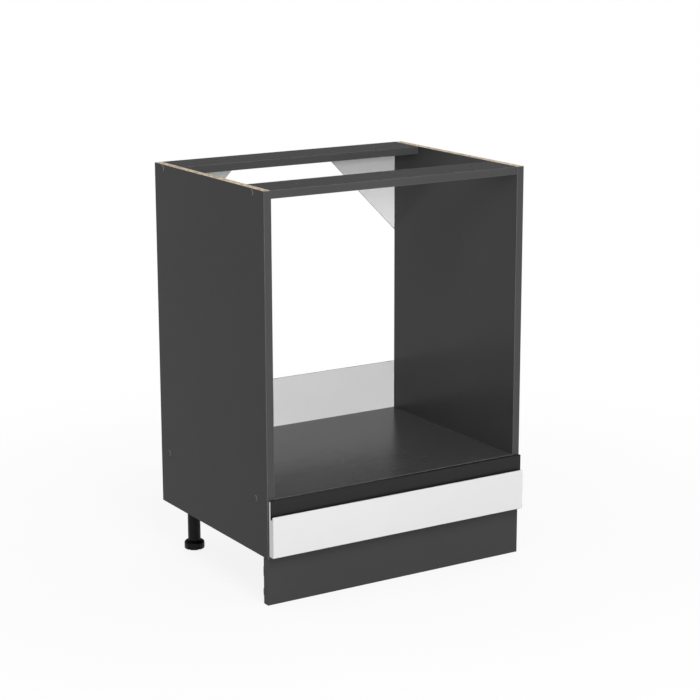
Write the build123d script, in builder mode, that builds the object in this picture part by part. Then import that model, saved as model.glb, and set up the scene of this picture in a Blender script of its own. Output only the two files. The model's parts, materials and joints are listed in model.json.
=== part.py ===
from build123d import *
from math import sqrt
import os

# Oven housing cabinet: a flat-pack base unit for a built-under oven.
# The carcass stands on four adjustable legs behind a clip-on plinth. A shallow
# drawer on roller runners fills the space under the oven shelf, behind a front
# with a grip recess along its top edge.
# Frame: +X right, +Y to the back, +Z up, origin on the floor under the middle
# of the cabinet. All sizes are in millimetres.

SIDES = {"left": -1, "right": 1}

# Carcass boards
cabinet_width = 600.0
side_depth = 450.0
board = 16.0
niche_height = 600.0
drawer_space = 104.0
rail_width = 92.0
front_rail_setback = 2.0
edging = 1.0
edging_round = 0.7

# White hardboard at the back
hardboard = 3.0
back_inset = 2.0
lower_back_height = 225.0
gusset_leg = 205.0

# Screws through the sides, with their caps
front_screw_inset = 46.0
rear_screw_inset = 35.0
screw_length = 50.0
screw_shank_radius = 3.5
screw_core_radius = 2.5
screw_tip = 3.0
screw_head_radius = 5.0
screw_head_depth = 2.5
screw_socket_radius = 2.4
screw_socket_depth = 2.4
cap_radius = 6.2
cap_height = 0.9
cap_bevel = 0.5
cap_peg_radius = 1.9
cap_peg_length = 1.8

# Dowels, cam fittings and hardboard pins
dowel_radius = 4.0
dowel_length = 30.0
dowel_in_side = 10.0
dowel_bevel = 0.8
dowel_pitch = 28.0
shelf_dowel_inset = 90.0
cam_radius = 7.5
cam_floor = 3.5
cam_reach = 34.0
cam_inset = 120.0
cam_slot_width = 1.6
cam_slot_depth = 2.0
bolt_thread_radius = 3.5
bolt_shank_radius = 2.5
bolt_head_radius = 3.4
bolt_head_length = 4.0
bolt_in_board = 11.0
pin_radius = 0.8
pin_head_radius = 1.6
pin_head_depth = 0.6
pin_length = 18.0
back_pin_inset = 28.0
back_pin_pitch = 180.0
gusset_pin_insets = (34.0, 140.0)
fitting_play = 0.1
bore_spare = 1.0

# Holes for worktop screws
worktop_hole_radius = 2.5
worktop_hole_inset = 84.0

# Adjustable legs
leg_height = 96.0
leg_side_inset = 41.0
front_leg_inset = 50.0
rear_leg_inset = 61.0
leg_tube_radius = 13.25
leg_tube_wall = 2.2
leg_nut_height = 22.0
socket_flange_radius = 30.0
socket_flange = 3.5
socket_flange_bevel = 1.0
socket_wall = 3.6
socket_collar = 12.5
socket_rib = 2.0
socket_rib_rise = 8.0
socket_screw_circle = 23.5
socket_screw_radius = 2.0
socket_screw_length = 12.0
socket_screw_head_radius = 3.6
socket_screw_head = 2.0
foot_radius = 21.2
foot_rim = 12.0
foot_shoulder = 5.5
foot_shoulder_radius = 13.8
foot_bevel = 1.2
foot_notch_width = 3.2
foot_notch_depth = 4.5
foot_notch_height = 6.5
foot_notches = 6
spindle_radius = 5.0
spindle_length = 46.0
running_gap = 0.3
spindle_play = 0.1

# Plinth
plinth_setback = 2.0
plinth_floor_gap = 0.5
plinth_top_gap = 1.0
clip_level = 50.0
clip_height = 20.0
clip_wall = 2.4
clip_gap = 0.5
clip_plate = 3.0
clip_plate_width = 36.0
clip_plate_height = 38.0
clip_reach = 8.0
clip_flare = 2.0
clip_screw_radius = 1.8
clip_screw_head_radius = 3.4
clip_screw_head_depth = 1.6
clip_screw_length = 14.0
clip_screw_margin = 5.0

# Drawer front with its grip recess
front_gap = 2.0
front_thickness = 16.0
front_reveal = 2.0
front_lift = 6.0
front_top_gap = 1.0
front_round = 1.2
lip_thickness = 3.0
recess_height = 30.5
groove_depth = 6.2
groove_round = 2.8
tongue_thickness = 5.6
liner = 1.2
liner_lip_gap = 1.6
bumper_radius = 4.0
bumper_height = 1.7
bumper_bevel = 0.4
bumper_insets = (30.0, 76.0)

# Drawer box
runner_gap = 12.5
drawer_board = 12.0
drawer_clearance = 14.0
drawer_headroom = 18.0
drawer_back_inset = 3.0
drawer_bottom = 3.0
drawer_bottom_lift = 8.0
drawer_bottom_play = 0.2
drawer_groove = 5.0
drawer_edge_soft = 0.8
drawer_cam_floor = 2.0
drawer_cam_reach = 24.0
drawer_cam_lift = 10.0
drawer_cam_margin = 12.0
drawer_bolt_radius = 3.0
drawer_screw_radius = 2.0
drawer_screw_head_radius = 4.0
drawer_screw_head_depth = 2.2
drawer_screw_length = 40.0
drawer_screw_margin = 10.0
drawer_screw_pitch = 20.0
drawer_travel = 300.0

# Roller runners
runner_steel = 1.2
runner_bend = 1.2
runner_length = 400.0
runner_setback = 3.0
drawer_runner_setback = 1.0
runner_shelf = 12.0
runner_tip_setback = 60.0
flange_gap = 1.2
track_below_drawer = 4.8
roller_radius = 8.0
roller_width = 6.0
roller_groove = 0.8
roller_groove_width = 3.0
roller_inset = 16.0
roller_play = 0.2
axle_radius = 2.0
axle_play = 0.06
axle_head_radius = 3.4
axle_head = 0.7
tip_gap = 1.2
stop_height = 4.0
runner_screw_radius = 1.8
runner_screw_head_radius = 3.2
runner_screw_length = 10.0
runner_screw_inset = 40.0

# Main planes of the carcass
half_width = cabinet_width / 2
inner_half = half_width - board
base_z = leg_height
shelf_z = base_z + drawer_space
shelf_top_z = shelf_z + board
rail_z = shelf_top_z + niche_height - board
top_z = rail_z + board
overall_depth = front_thickness + front_gap + side_depth + hardboard
front_y = front_thickness + front_gap - overall_depth / 2
core_front_y = front_y + edging
back_y = front_y + side_depth
front_rail_y = front_y + front_rail_setback
rear_rail_y = back_y - rail_width
back_half = half_width - back_inset
lower_back_z = base_z + back_inset
lower_back_top_z = lower_back_z + lower_back_height
gusset_z = top_z - back_inset

# Main planes of the drawer front and its grip recess
front_half = half_width - front_reveal
front_back_y = front_y - front_gap
front_face_y = front_back_y - front_thickness
front_base_z = base_z + front_lift
front_top_z = shelf_top_z - front_top_gap
lip_top_z = front_top_z - recess_height
groove_floor_z = lip_top_z - groove_depth
lip_inner_y = front_face_y + lip_thickness
tongue_y = front_back_y - tongue_thickness

# Main planes of the drawer box, whose sides are as long as the runners
drawer_half = inner_half - runner_gap
drawer_inner_half = drawer_half - drawer_board
drawer_z = base_z + board + drawer_clearance
drawer_top_z = shelf_z - drawer_headroom
drawer_rear_y = front_back_y + runner_length
drawer_back_y = drawer_rear_y - drawer_back_inset - drawer_board
drawer_bottom_z = drawer_z + drawer_bottom_lift
drawer_end_x = drawer_half - drawer_board / 2

# Main planes of the runners: the drawer's rollers run on the track at the bottom
# of the cabinet's members, and the cabinet's rollers carry the drawer's flanges
track_z = drawer_z - track_below_drawer
web_inner_x = inner_half - runner_steel
drawer_web_x = drawer_half + runner_steel
roller_x = (web_inner_x + drawer_web_x) / 2
runner_y = front_y + runner_setback
runner_end_y = runner_y + runner_length
drawer_runner_y = front_back_y + drawer_runner_setback
cabinet_roller_y = runner_y + roller_inset
drawer_roller_y = drawer_rear_y - roller_inset
drawer_roller_z = track_z + roller_play + roller_radius
cabinet_roller_z = drawer_roller_z + roller_play
carry_z = cabinet_roller_z + roller_radius + roller_play
tip_z = carry_z + runner_steel + tip_gap

# Main planes of the legs and the plinth
leg_x = half_width - leg_side_inset
front_leg_y = front_y + front_leg_inset
rear_leg_y = back_y - rear_leg_inset
socket_z = base_z - socket_flange
foot_top_z = foot_rim + foot_shoulder
leg_tube_z = foot_top_z + running_gap
plinth_y = front_y + plinth_setback
plinth_back_y = plinth_y + board
LEGS = {
    f"{end}_{side}": (sign * leg_x, y)
    for end, y in (("front", front_leg_y), ("rear", rear_leg_y))
    for side, sign in SIDES.items()
}

# Places of the carcass fasteners as (y, z) on the sides
rail_mid_z = rail_z + board / 2
shelf_mid_z = shelf_z + board / 2
bottom_mid_z = base_z + board / 2
front_screw_y = front_y + front_screw_inset
rear_screw_y = back_y - rear_screw_inset
front_rail_screws = [(front_screw_y, rail_mid_z)]
rear_rail_screws = [(rear_screw_y, rail_mid_z)]
shelf_screws = [(front_screw_y, shelf_mid_z), (rear_screw_y, shelf_mid_z)]
side_screws = front_rail_screws + rear_rail_screws + shelf_screws
front_rail_dowels = [(front_screw_y + dowel_pitch, rail_mid_z)]
rear_rail_dowels = [(rear_screw_y - dowel_pitch, rail_mid_z)]
shelf_dowels = [
    (front_screw_y + shelf_dowel_inset, shelf_mid_z),
    (rear_screw_y - shelf_dowel_inset, shelf_mid_z),
]
bottom_bolts = [(front_y + cam_inset, bottom_mid_z), (back_y - cam_inset, bottom_mid_z)]
bottom_dowels = [
    (front_y + cam_inset + dowel_pitch, bottom_mid_z),
    (back_y - cam_inset - dowel_pitch, bottom_mid_z),
]
side_dowels = front_rail_dowels + rear_rail_dowels + shelf_dowels + bottom_dowels
side_runner_screws = [
    (runner_y + runner_screw_inset, drawer_roller_z),
    (runner_y + runner_length / 2, drawer_roller_z),
    (runner_end_y - runner_screw_inset, drawer_roller_z),
]

# Places of the pins in the hardboard as (x, z) on the back
back_side_pins = [
    (sign * (half_width - board / 2), z)
    for sign in SIDES.values()
    for z in (lower_back_z + back_pin_inset, lower_back_top_z - back_pin_inset)
]
back_shelf_pins = [(step * back_pin_pitch, shelf_mid_z) for step in (-1, 0, 1)]
back_bottom_pins = [(step * back_pin_pitch, bottom_mid_z) for step in (-1, 0, 1)]


def gusset_side_pins(sign):
    """Pins that hold a gusset to the rear edge of its side."""
    return [(sign * (half_width - board / 2), gusset_z - inset) for inset in gusset_pin_insets]


def gusset_rail_pins(sign):
    """Pins that hold a gusset to the rear edge of the rear rail."""
    return [(sign * (back_half - inset), rail_mid_z) for inset in gusset_pin_insets]


rear_rail_pins = gusset_rail_pins(-1) + gusset_rail_pins(1)

# Places of the drawer's fasteners
drawer_bolt_heights = (
    drawer_bottom_z + drawer_bottom + drawer_cam_lift,
    drawer_top_z - drawer_cam_margin,
)
drawer_cam_y = front_back_y + drawer_cam_reach
drawer_screws_at = [
    (drawer_back_y + drawer_board / 2, drawer_top_z - drawer_screw_margin),
    (drawer_back_y + drawer_board / 2, drawer_top_z - drawer_screw_margin - drawer_screw_pitch),
]
drawer_runner_screws_at = [
    (drawer_runner_y + runner_screw_inset, drawer_roller_z),
    (drawer_runner_y + runner_length / 2, drawer_roller_z),
    (drawer_rear_y - runner_screw_inset, drawer_roller_z),
]

# Heights of the plinth clip's screws, above and below its arms
clip_screw_heights = [
    clip_level - clip_plate_height / 2 + clip_screw_margin,
    clip_level + clip_plate_height / 2 - clip_screw_margin,
]


def across(sign, near, far):
    """The range of X between two distances from the middle, on the side that sign gives."""
    return sorted((sign * near, sign * far))


def front_plane(y):
    """A plane across the cabinet whose X runs right, whose Y runs up and which faces the front."""
    return Plane.XZ.offset(-y)


def side_plane(x):
    """A plane along the cabinet whose X runs to the back, whose Y runs up and which faces right."""
    return Plane.YZ.offset(x)


def axis_plane(start, direction):
    """A plane whose X runs from a point along an axis of the frame."""
    facing = (1, 0, 0) if direction[2] else (0, 0, 1)
    return Plane(origin=start, x_dir=direction, z_dir=facing)


def block(x_range, y_range, z_range, mode=Mode.ADD):
    """Adds a square-edged block between two corners to the current part, or cuts it away."""
    with BuildSketch(Plane.XY.offset(z_range[0])) as outline:
        with Locations((sum(x_range) / 2, sum(y_range) / 2)):
            Rectangle(x_range[1] - x_range[0], y_range[1] - y_range[0])
    extrude(outline.sketch, amount=z_range[1] - z_range[0], mode=mode)


def drill(plane, places, radius, depth):
    """Cuts round holes into the current part, along the plane's normal for a positive depth."""
    with BuildSketch(plane) as holes:
        with Locations(*places):
            Circle(radius)
    extrude(holes.sketch, amount=depth, mode=Mode.SUBTRACT)


def turn(profile, plane, mode=Mode.ADD):
    """Turns a profile of (along, radius) points about the plane's X axis."""
    with BuildSketch(plane) as section:
        with BuildLine():
            Polyline(*profile, close=True)
        make_face()
    revolve(section.sketch, axis=Axis(plane.origin, plane.x_dir), mode=mode)


def countersunk(head_radius, head_depth, radius, length, tip=0.0, play=0.0):
    """The profile of a screw with a countersunk head at its start, or of its hole with play."""
    return [
        (0, 0),
        (length, 0),
        (length - tip, radius + play),
        (head_depth, radius + play),
        (0, head_radius + play),
    ]


def bent_strip(centre_line, y_range):
    """Adds a bent steel strip along Y whose middle follows points of (x, z)."""
    with BuildSketch(front_plane(y_range[0])) as section:
        with BuildLine():
            FilletPolyline(*centre_line, radius=runner_bend)
        trace(line_width=runner_steel)
    extrude(section.sketch, amount=y_range[0] - y_range[1])


def save(piece, label):
    """Labels a finished sub-part and writes it to its own file."""
    piece.part.label = label
    export_step(piece.part, f"parts/{label}.step")


def side_panel(sign):
    """A side of the carcass, with the holes for its fasteners and its runner."""
    outer = sign * half_width
    inner = sign * inner_half
    screw_hole = countersunk(screw_head_radius, screw_head_depth, screw_shank_radius, board,
                             play=fitting_play)
    with BuildPart() as panel:
        block(across(sign, inner_half, half_width), (core_front_y, back_y), (base_z, top_z))
        for y, z in side_screws:
            turn(screw_hole, axis_plane((outer, y, z), (-sign, 0, 0)), Mode.SUBTRACT)
        into_side = side_plane(inner)
        drill(into_side, side_dowels, dowel_radius + fitting_play, sign * (dowel_in_side + bore_spare))
        drill(into_side, bottom_bolts, bolt_thread_radius + fitting_play, sign * bolt_in_board)
        drill(into_side, side_runner_screws, runner_screw_radius + fitting_play,
              sign * runner_screw_length)
        pins = [(x, z) for x, z in back_side_pins + gusset_side_pins(sign) if x * sign > 0]
        drill(front_plane(back_y), pins, pin_radius + fitting_play, pin_length)
    return panel


def edge_band(x_range, y, z_range, long_axis):
    """A strip of edging whose face is at y, with its two long front edges rounded."""
    with BuildPart() as band:
        block(x_range, (y, y + edging), z_range)
        long_edges = band.edges().filter_by(long_axis)
        fillet(long_edges.group_by(Axis.Y)[0], edging_round)
    return band


def cross_board(y_range, z, screws, dowels):
    """Cuts the current part as a board between the sides, with screw and dowel holes in its ends."""
    block((-inner_half, inner_half), y_range, (z, z + board))
    for sign in SIDES.values():
        end = side_plane(sign * inner_half)
        if screws:
            drill(end, screws, screw_core_radius + fitting_play,
                  -sign * (screw_length - board + bore_spare))
        drill(end, dowels, dowel_radius + fitting_play,
              -sign * (dowel_length - dowel_in_side + bore_spare))


def rail(y, screws, dowels, pins):
    """A rail across the top of the carcass, with two holes for worktop screws."""
    with BuildPart() as piece:
        cross_board((y + edging, y + rail_width), rail_z, screws, dowels)
        if pins:
            drill(front_plane(y + rail_width), pins, pin_radius + fitting_play, pin_length)
        holes = [(sign * (inner_half - worktop_hole_inset), y + rail_width / 2)
                 for sign in SIDES.values()]
        drill(Plane.XY.offset(rail_z), holes, worktop_hole_radius, board)
    return piece


def shelf_board():
    """The oven shelf."""
    with BuildPart() as piece:
        cross_board((core_front_y, back_y), shelf_z, shelf_screws, shelf_dowels)
        drill(front_plane(back_y), back_shelf_pins, pin_radius + fitting_play, pin_length)
    return piece


def socket_screw_places(x, y):
    """The four screw places of a leg's socket."""
    offset = socket_screw_circle / sqrt(2)
    return [(x + i * offset, y + j * offset) for i in (-1, 1) for j in (-1, 1)]


def base_board():
    """The bottom panel, which stands on the legs and is held by cams bored from below."""
    with BuildPart() as piece:
        cross_board((core_front_y, back_y), base_z, [], bottom_dowels)
        drill(front_plane(back_y), back_bottom_pins, pin_radius + fitting_play, pin_length)
        below = Plane.XY.offset(base_z)
        cams = [(sign * (inner_half - cam_reach), y)
                for sign in SIDES.values() for y, z in bottom_bolts]
        drill(below, cams, cam_radius + fitting_play, board - cam_floor)
        for sign in SIDES.values():
            drill(side_plane(sign * inner_half), bottom_bolts, bolt_head_radius + fitting_play,
                  -sign * cam_reach)
        for x, y in LEGS.values():
            drill(below, socket_screw_places(x, y), socket_screw_radius + fitting_play,
                  socket_screw_length - socket_flange)
    return piece


def hardboard_holes(pins):
    """Cuts the countersunk pin holes into the current sheet of hardboard."""
    hole = countersunk(pin_head_radius, pin_head_depth, pin_radius, hardboard, play=fitting_play)
    for x, z in pins:
        turn(hole, axis_plane((x, back_y + hardboard, z), (0, -1, 0)), Mode.SUBTRACT)


def low_back():
    """The low back, which closes the drawer's space and stands up behind the oven shelf."""
    with BuildPart() as piece:
        block((-back_half, back_half), (back_y, back_y + hardboard), (lower_back_z, lower_back_top_z))
        hardboard_holes(back_side_pins + back_shelf_pins + back_bottom_pins)
    return piece


def gusset(sign):
    """A triangle of hardboard that squares an upper rear corner."""
    corner = sign * back_half
    with BuildPart() as piece:
        with BuildSketch(front_plane(back_y)):
            with BuildLine():
                Polyline(
                    (corner, gusset_z),
                    (corner - sign * gusset_leg, gusset_z),
                    (corner, gusset_z - gusset_leg),
                    close=True,
                )
            make_face()
        extrude(amount=-hardboard)
        hardboard_holes(gusset_side_pins(sign) + gusset_rail_pins(sign))
    return piece


def long_screws():
    """The screws through the sides into the rails and the shelf, with hexagon sockets."""
    profile = countersunk(screw_head_radius, screw_head_depth, screw_shank_radius, board)
    core = [
        (board, 0),
        (screw_length, 0),
        (screw_length - screw_tip, screw_core_radius),
        (board, screw_core_radius),
    ]
    with BuildPart() as screws:
        for sign in SIDES.values():
            for y, z in side_screws:
                at = axis_plane((sign * half_width, y, z), (-sign, 0, 0))
                turn(profile, at)
                turn(core, at)
            with BuildSketch(side_plane(sign * half_width)) as sockets:
                with Locations(*side_screws):
                    RegularPolygon(screw_socket_radius, 6)
            extrude(sockets.sketch, amount=-sign * screw_socket_depth, mode=Mode.SUBTRACT)
    return screws


def caps():
    """The plastic caps over the screw heads, each with a peg in the screw's socket."""
    profile = [
        (-cap_peg_length, 0),
        (-cap_peg_length, cap_peg_radius),
        (0, cap_peg_radius),
        (0, cap_radius),
        (cap_height - cap_bevel, cap_radius),
        (cap_height, cap_radius - cap_bevel),
        (cap_height, 0),
    ]
    with BuildPart() as piece:
        for sign in SIDES.values():
            for y, z in side_screws:
                turn(profile, axis_plane((sign * half_width, y, z), (sign, 0, 0)))
    return piece


def wooden_dowels():
    """The dowels between the sides and the boards across them."""
    profile = [
        (0, 0),
        (0, dowel_radius - dowel_bevel),
        (dowel_bevel, dowel_radius),
        (dowel_length - dowel_bevel, dowel_radius),
        (dowel_length, dowel_radius - dowel_bevel),
        (dowel_length, 0),
    ]
    with BuildPart() as piece:
        for sign in SIDES.values():
            for y, z in side_dowels:
                turn(profile, axis_plane((sign * (inner_half + dowel_in_side), y, z), (-sign, 0, 0)))
    return piece


def bolt_profile(thread_radius, reach):
    """The profile of a cam bolt: a thread in one board, a shank and a head in the cam."""
    head_start = bolt_in_board + reach - bolt_head_length / 2
    return [
        (0, 0),
        (0, thread_radius),
        (bolt_in_board, thread_radius),
        (bolt_in_board, bolt_shank_radius),
        (head_start, bolt_shank_radius),
        (head_start, bolt_head_radius),
        (head_start + bolt_head_length, bolt_head_radius),
        (head_start + bolt_head_length, 0),
    ]


def cam(plane, depth, entry):
    """Adds a cam housing, from its slotted face along the plane's normal, with its bolt's way in."""
    with BuildSketch(plane) as outline:
        Circle(cam_radius)
    extrude(outline.sketch, amount=depth)
    with BuildSketch(plane) as slot:
        Rectangle(cam_radius * 1.4, cam_slot_width)
        Rectangle(cam_slot_width, cam_radius * 1.4)
    extrude(slot.sketch, amount=cam_slot_depth, mode=Mode.SUBTRACT)
    turn([(-cam_radius / 2, 0), (cam_radius + 1, 0), (cam_radius + 1, bolt_head_radius + fitting_play),
          (-cam_radius / 2, bolt_head_radius + fitting_play)], entry, Mode.SUBTRACT)


def carcass_cams():
    """The cam housings under the bottom panel."""
    with BuildPart() as piece:
        for sign in SIDES.values():
            for y, z in bottom_bolts:
                x = sign * (inner_half - cam_reach)
                face = Plane(origin=(x, y, base_z), x_dir=(1, 0, 0), z_dir=(0, 0, 1))
                cam(face, board - cam_floor, axis_plane((x, y, z), (sign, 0, 0)))
    return piece


def carcass_bolts():
    """The cam bolts between the sides and the bottom panel."""
    profile = bolt_profile(bolt_thread_radius, cam_reach)
    with BuildPart() as piece:
        for sign in SIDES.values():
            for y, z in bottom_bolts:
                turn(profile, axis_plane((sign * (inner_half + bolt_in_board), y, z), (-sign, 0, 0)))
    return piece


def back_pins():
    """The pins through the hardboard into the boards behind it."""
    pins = back_side_pins + back_shelf_pins + back_bottom_pins
    for sign in SIDES.values():
        pins = pins + gusset_side_pins(sign) + gusset_rail_pins(sign)
    profile = countersunk(pin_head_radius, pin_head_depth, pin_radius, pin_length, tip=pin_radius)
    with BuildPart() as piece:
        for x, z in pins:
            turn(profile, axis_plane((x, back_y + hardboard, z), (0, -1, 0)))
    return piece


def leg_socket(x, y):
    """The plastic socket under the bottom panel that a leg's tube is pushed into."""
    collar_z = socket_z - socket_collar
    bore = leg_tube_radius + fitting_play
    outer = leg_tube_radius + socket_wall
    profile = [
        (collar_z, bore),
        (collar_z, outer),
        (socket_z, outer),
        (socket_z, socket_flange_radius - socket_flange_bevel),
        (socket_z + socket_flange_bevel, socket_flange_radius),
        (base_z, socket_flange_radius),
        (base_z, 0),
        (socket_z, 0),
        (socket_z, bore),
    ]
    rib_reach = socket_flange_radius - 2 * socket_flange_bevel
    with BuildPart() as socket:
        turn(profile, axis_plane((x, y, 0), (0, 0, 1)))
        drill(Plane.XY.offset(socket_z), socket_screw_places(x, y),
              socket_screw_radius + fitting_play, socket_flange)
        for out_x, out_y in ((1, 0), (0, 1), (-1, 0), (0, -1)):
            upright = Plane(origin=(x, y, socket_z), x_dir=(out_x, out_y, 0), z_dir=(out_y, -out_x, 0))
            with BuildSketch(upright) as rib:
                with BuildLine():
                    Polyline(
                        (outer - socket_wall / 2, 0),
                        (rib_reach, 0),
                        (outer, -socket_rib_rise),
                        (outer - socket_wall / 2, -socket_rib_rise),
                        close=True,
                    )
                make_face()
            extrude(rib.sketch, amount=socket_rib / 2, both=True)
    return socket


def leg_tube(x, y):
    """The tube of a leg, with a solid nut for the foot's spindle at its lower end."""
    nut_top_z = leg_tube_z + leg_nut_height
    profile = [
        (leg_tube_z, spindle_radius + spindle_play),
        (leg_tube_z, leg_tube_radius),
        (socket_z, leg_tube_radius),
        (socket_z, leg_tube_radius - leg_tube_wall),
        (nut_top_z, leg_tube_radius - leg_tube_wall),
        (nut_top_z, spindle_radius + spindle_play),
    ]
    with BuildPart() as tube:
        turn(profile, axis_plane((x, y, 0), (0, 0, 1)))
    return tube


def foot(x, y):
    """A screw foot: a rim notched underneath to turn it by, a domed shoulder and a spindle."""
    plane = axis_plane((x, y, 0), (0, 0, 1))
    with BuildPart() as piece:
        with BuildSketch(plane) as section:
            with BuildLine():
                Polyline(
                    (foot_rim, foot_radius),
                    (foot_bevel, foot_radius),
                    (0, foot_radius - foot_bevel),
                    (0, 0),
                    (foot_top_z + spindle_length, 0),
                    (foot_top_z + spindle_length, spindle_radius),
                    (foot_top_z, spindle_radius),
                    (foot_top_z, foot_shoulder_radius),
                )
                EllipticalCenterArc(
                    (foot_rim, foot_shoulder_radius),
                    foot_shoulder,
                    foot_radius - foot_shoulder_radius,
                    arc_size=90,
                )
            make_face()
        revolve(section.sketch, axis=Axis(plane.origin, plane.x_dir))
        with BuildSketch(Plane.XY) as notches:
            with Locations((x, y)):
                with PolarLocations(foot_radius, foot_notches, start_angle=180 / foot_notches):
                    Rectangle(2 * foot_notch_depth, foot_notch_width)
        extrude(notches.sketch, amount=foot_notch_height, mode=Mode.SUBTRACT)
    return piece


def socket_screws():
    """The screws that hold the leg sockets to the bottom panel."""
    profile = [
        (-socket_screw_head, 0),
        (-socket_screw_head, socket_screw_head_radius),
        (0, socket_screw_head_radius),
        (0, socket_screw_radius),
        (socket_screw_length, socket_screw_radius),
        (socket_screw_length, 0),
    ]
    with BuildPart() as piece:
        for x, y in LEGS.values():
            for screw_x, screw_y in socket_screw_places(x, y):
                turn(profile, axis_plane((screw_x, screw_y, socket_z), (0, 0, 1)))
    return piece


def clip_screw_places():
    """The places of the plinth clips' screws as (x, z) on the back of the plinth."""
    return [(sign * leg_x, z) for sign in SIDES.values() for z in clip_screw_heights]


def plinth():
    """The plinth board, with the pilot holes for its clips."""
    with BuildPart() as piece:
        block((-half_width, half_width), (plinth_y, plinth_back_y),
              (plinth_floor_gap, base_z - plinth_top_gap))
        drill(front_plane(plinth_back_y), clip_screw_places(), clip_screw_radius + fitting_play,
              clip_screw_length - clip_plate)
    return piece


def clips():
    """The clips on the plinth whose springy arms slide over the front legs."""
    arm = leg_tube_radius + clip_gap
    root_y = plinth_back_y + clip_plate
    end_y = front_leg_y + clip_reach
    with BuildPart() as piece:
        for side in SIDES.values():
            x = side * leg_x
            block((x - clip_plate_width / 2, x + clip_plate_width / 2), (plinth_back_y, root_y),
                  (clip_level - clip_plate_height / 2, clip_level + clip_plate_height / 2))
            for sign in SIDES.values():
                with BuildSketch(Plane.XY.offset(clip_level - clip_height / 2)) as outline:
                    with BuildLine():
                        Polyline(
                            (x + sign * arm, root_y),
                            (x + sign * arm, end_y),
                            (x + sign * (arm + clip_flare), end_y + clip_flare),
                            (x + sign * (arm + clip_flare + clip_wall), end_y + clip_flare),
                            (x + sign * (arm + clip_wall), end_y - clip_flare),
                            (x + sign * (arm + clip_wall), root_y),
                            close=True,
                        )
                    make_face()
                extrude(outline.sketch, amount=clip_height)
        hole = countersunk(clip_screw_head_radius, clip_screw_head_depth, clip_screw_radius,
                           clip_plate, play=fitting_play)
        for x, z in clip_screw_places():
            turn(hole, axis_plane((x, root_y, z), (0, -1, 0)), Mode.SUBTRACT)
    return piece


def clip_screws():
    """The screws that hold the clips to the plinth."""
    profile = countersunk(clip_screw_head_radius, clip_screw_head_depth, clip_screw_radius,
                          clip_screw_length, tip=clip_screw_radius)
    with BuildPart() as piece:
        for x, z in clip_screw_places():
            turn(profile, axis_plane((x, plinth_back_y + clip_plate, z), (0, -1, 0)))
    return piece


def recess(y_range, z_range, radius, mode):
    """Adds or cuts the grip channel in the current sketch, with its lower corners rounded."""
    with BuildSketch(mode=Mode.PRIVATE) as channel:
        with Locations((sum(y_range) / 2, sum(z_range) / 2)):
            Rectangle(y_range[1] - y_range[0], z_range[1] - z_range[0])
        fillet(channel.vertices().group_by(Axis.Y)[0], radius)
    add(channel.sketch, mode=mode)


def grip_front():
    """The drawer front: a thin lip, a round-bottomed groove and a tongue behind it."""
    length = 2 * front_half
    with BuildPart() as piece:
        with BuildSketch(side_plane(-front_half)):
            with Locations(((front_face_y + front_back_y) / 2, (front_base_z + front_top_z - liner) / 2)):
                Rectangle(front_thickness, front_top_z - liner - front_base_z)
            recess((lip_inner_y, tongue_y), (groove_floor_z, front_top_z), groove_round, Mode.SUBTRACT)
            with Locations(((front_face_y + tongue_y) / 2, (lip_top_z + front_top_z) / 2)):
                Rectangle(tongue_y - front_face_y, front_top_z - lip_top_z, mode=Mode.SUBTRACT)
        extrude(amount=length)
        outer_face = piece.faces().filter_by(Axis.Y).sort_by(Axis.Y)[0]
        fillet(outer_face.edges(), front_round)
        bolts = [(sign * drawer_end_x, z) for sign in SIDES.values() for z in drawer_bolt_heights]
        drill(front_plane(front_back_y), bolts, drawer_bolt_radius + fitting_play, bolt_in_board)
        block((-drawer_inner_half - drawer_groove, drawer_inner_half + drawer_groove),
              (front_back_y - drawer_groove, front_back_y),
              (drawer_bottom_z, drawer_bottom_z + drawer_bottom + drawer_bottom_play), Mode.SUBTRACT)
    return piece


def recess_liner():
    """The black liner of the grip recess, which wraps over the top of the tongue."""
    with BuildPart() as piece:
        with BuildSketch(side_plane(-front_half)):
            recess((lip_inner_y, tongue_y), (groove_floor_z, front_top_z), groove_round, Mode.ADD)
            recess((lip_inner_y + liner, tongue_y - liner), (groove_floor_z + liner, front_top_z + liner),
                   groove_round - liner, Mode.SUBTRACT)
            open_z = lip_top_z - liner_lip_gap
            with Locations((lip_inner_y + liner / 2, (open_z + front_top_z) / 2)):
                Rectangle(liner, front_top_z - open_z, mode=Mode.SUBTRACT)
            with Locations(((tongue_y - liner + front_back_y) / 2, front_top_z - liner / 2)):
                Rectangle(tongue_thickness + liner, liner)
        extrude(amount=2 * front_half)
    return piece


def bumpers():
    """The soft pads on the sides' front edges that the drawer front closes against."""
    profile = [
        (0, 0),
        (0, bumper_radius),
        (bumper_height - bumper_bevel, bumper_radius),
        (bumper_height, bumper_radius - bumper_bevel),
        (bumper_height, 0),
    ]
    with BuildPart() as piece:
        for sign in SIDES.values():
            for inset in bumper_insets:
                at = (sign * (half_width - board / 2), front_y, base_z + inset)
                turn(profile, axis_plane(at, (0, -1, 0)))
    return piece


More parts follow.
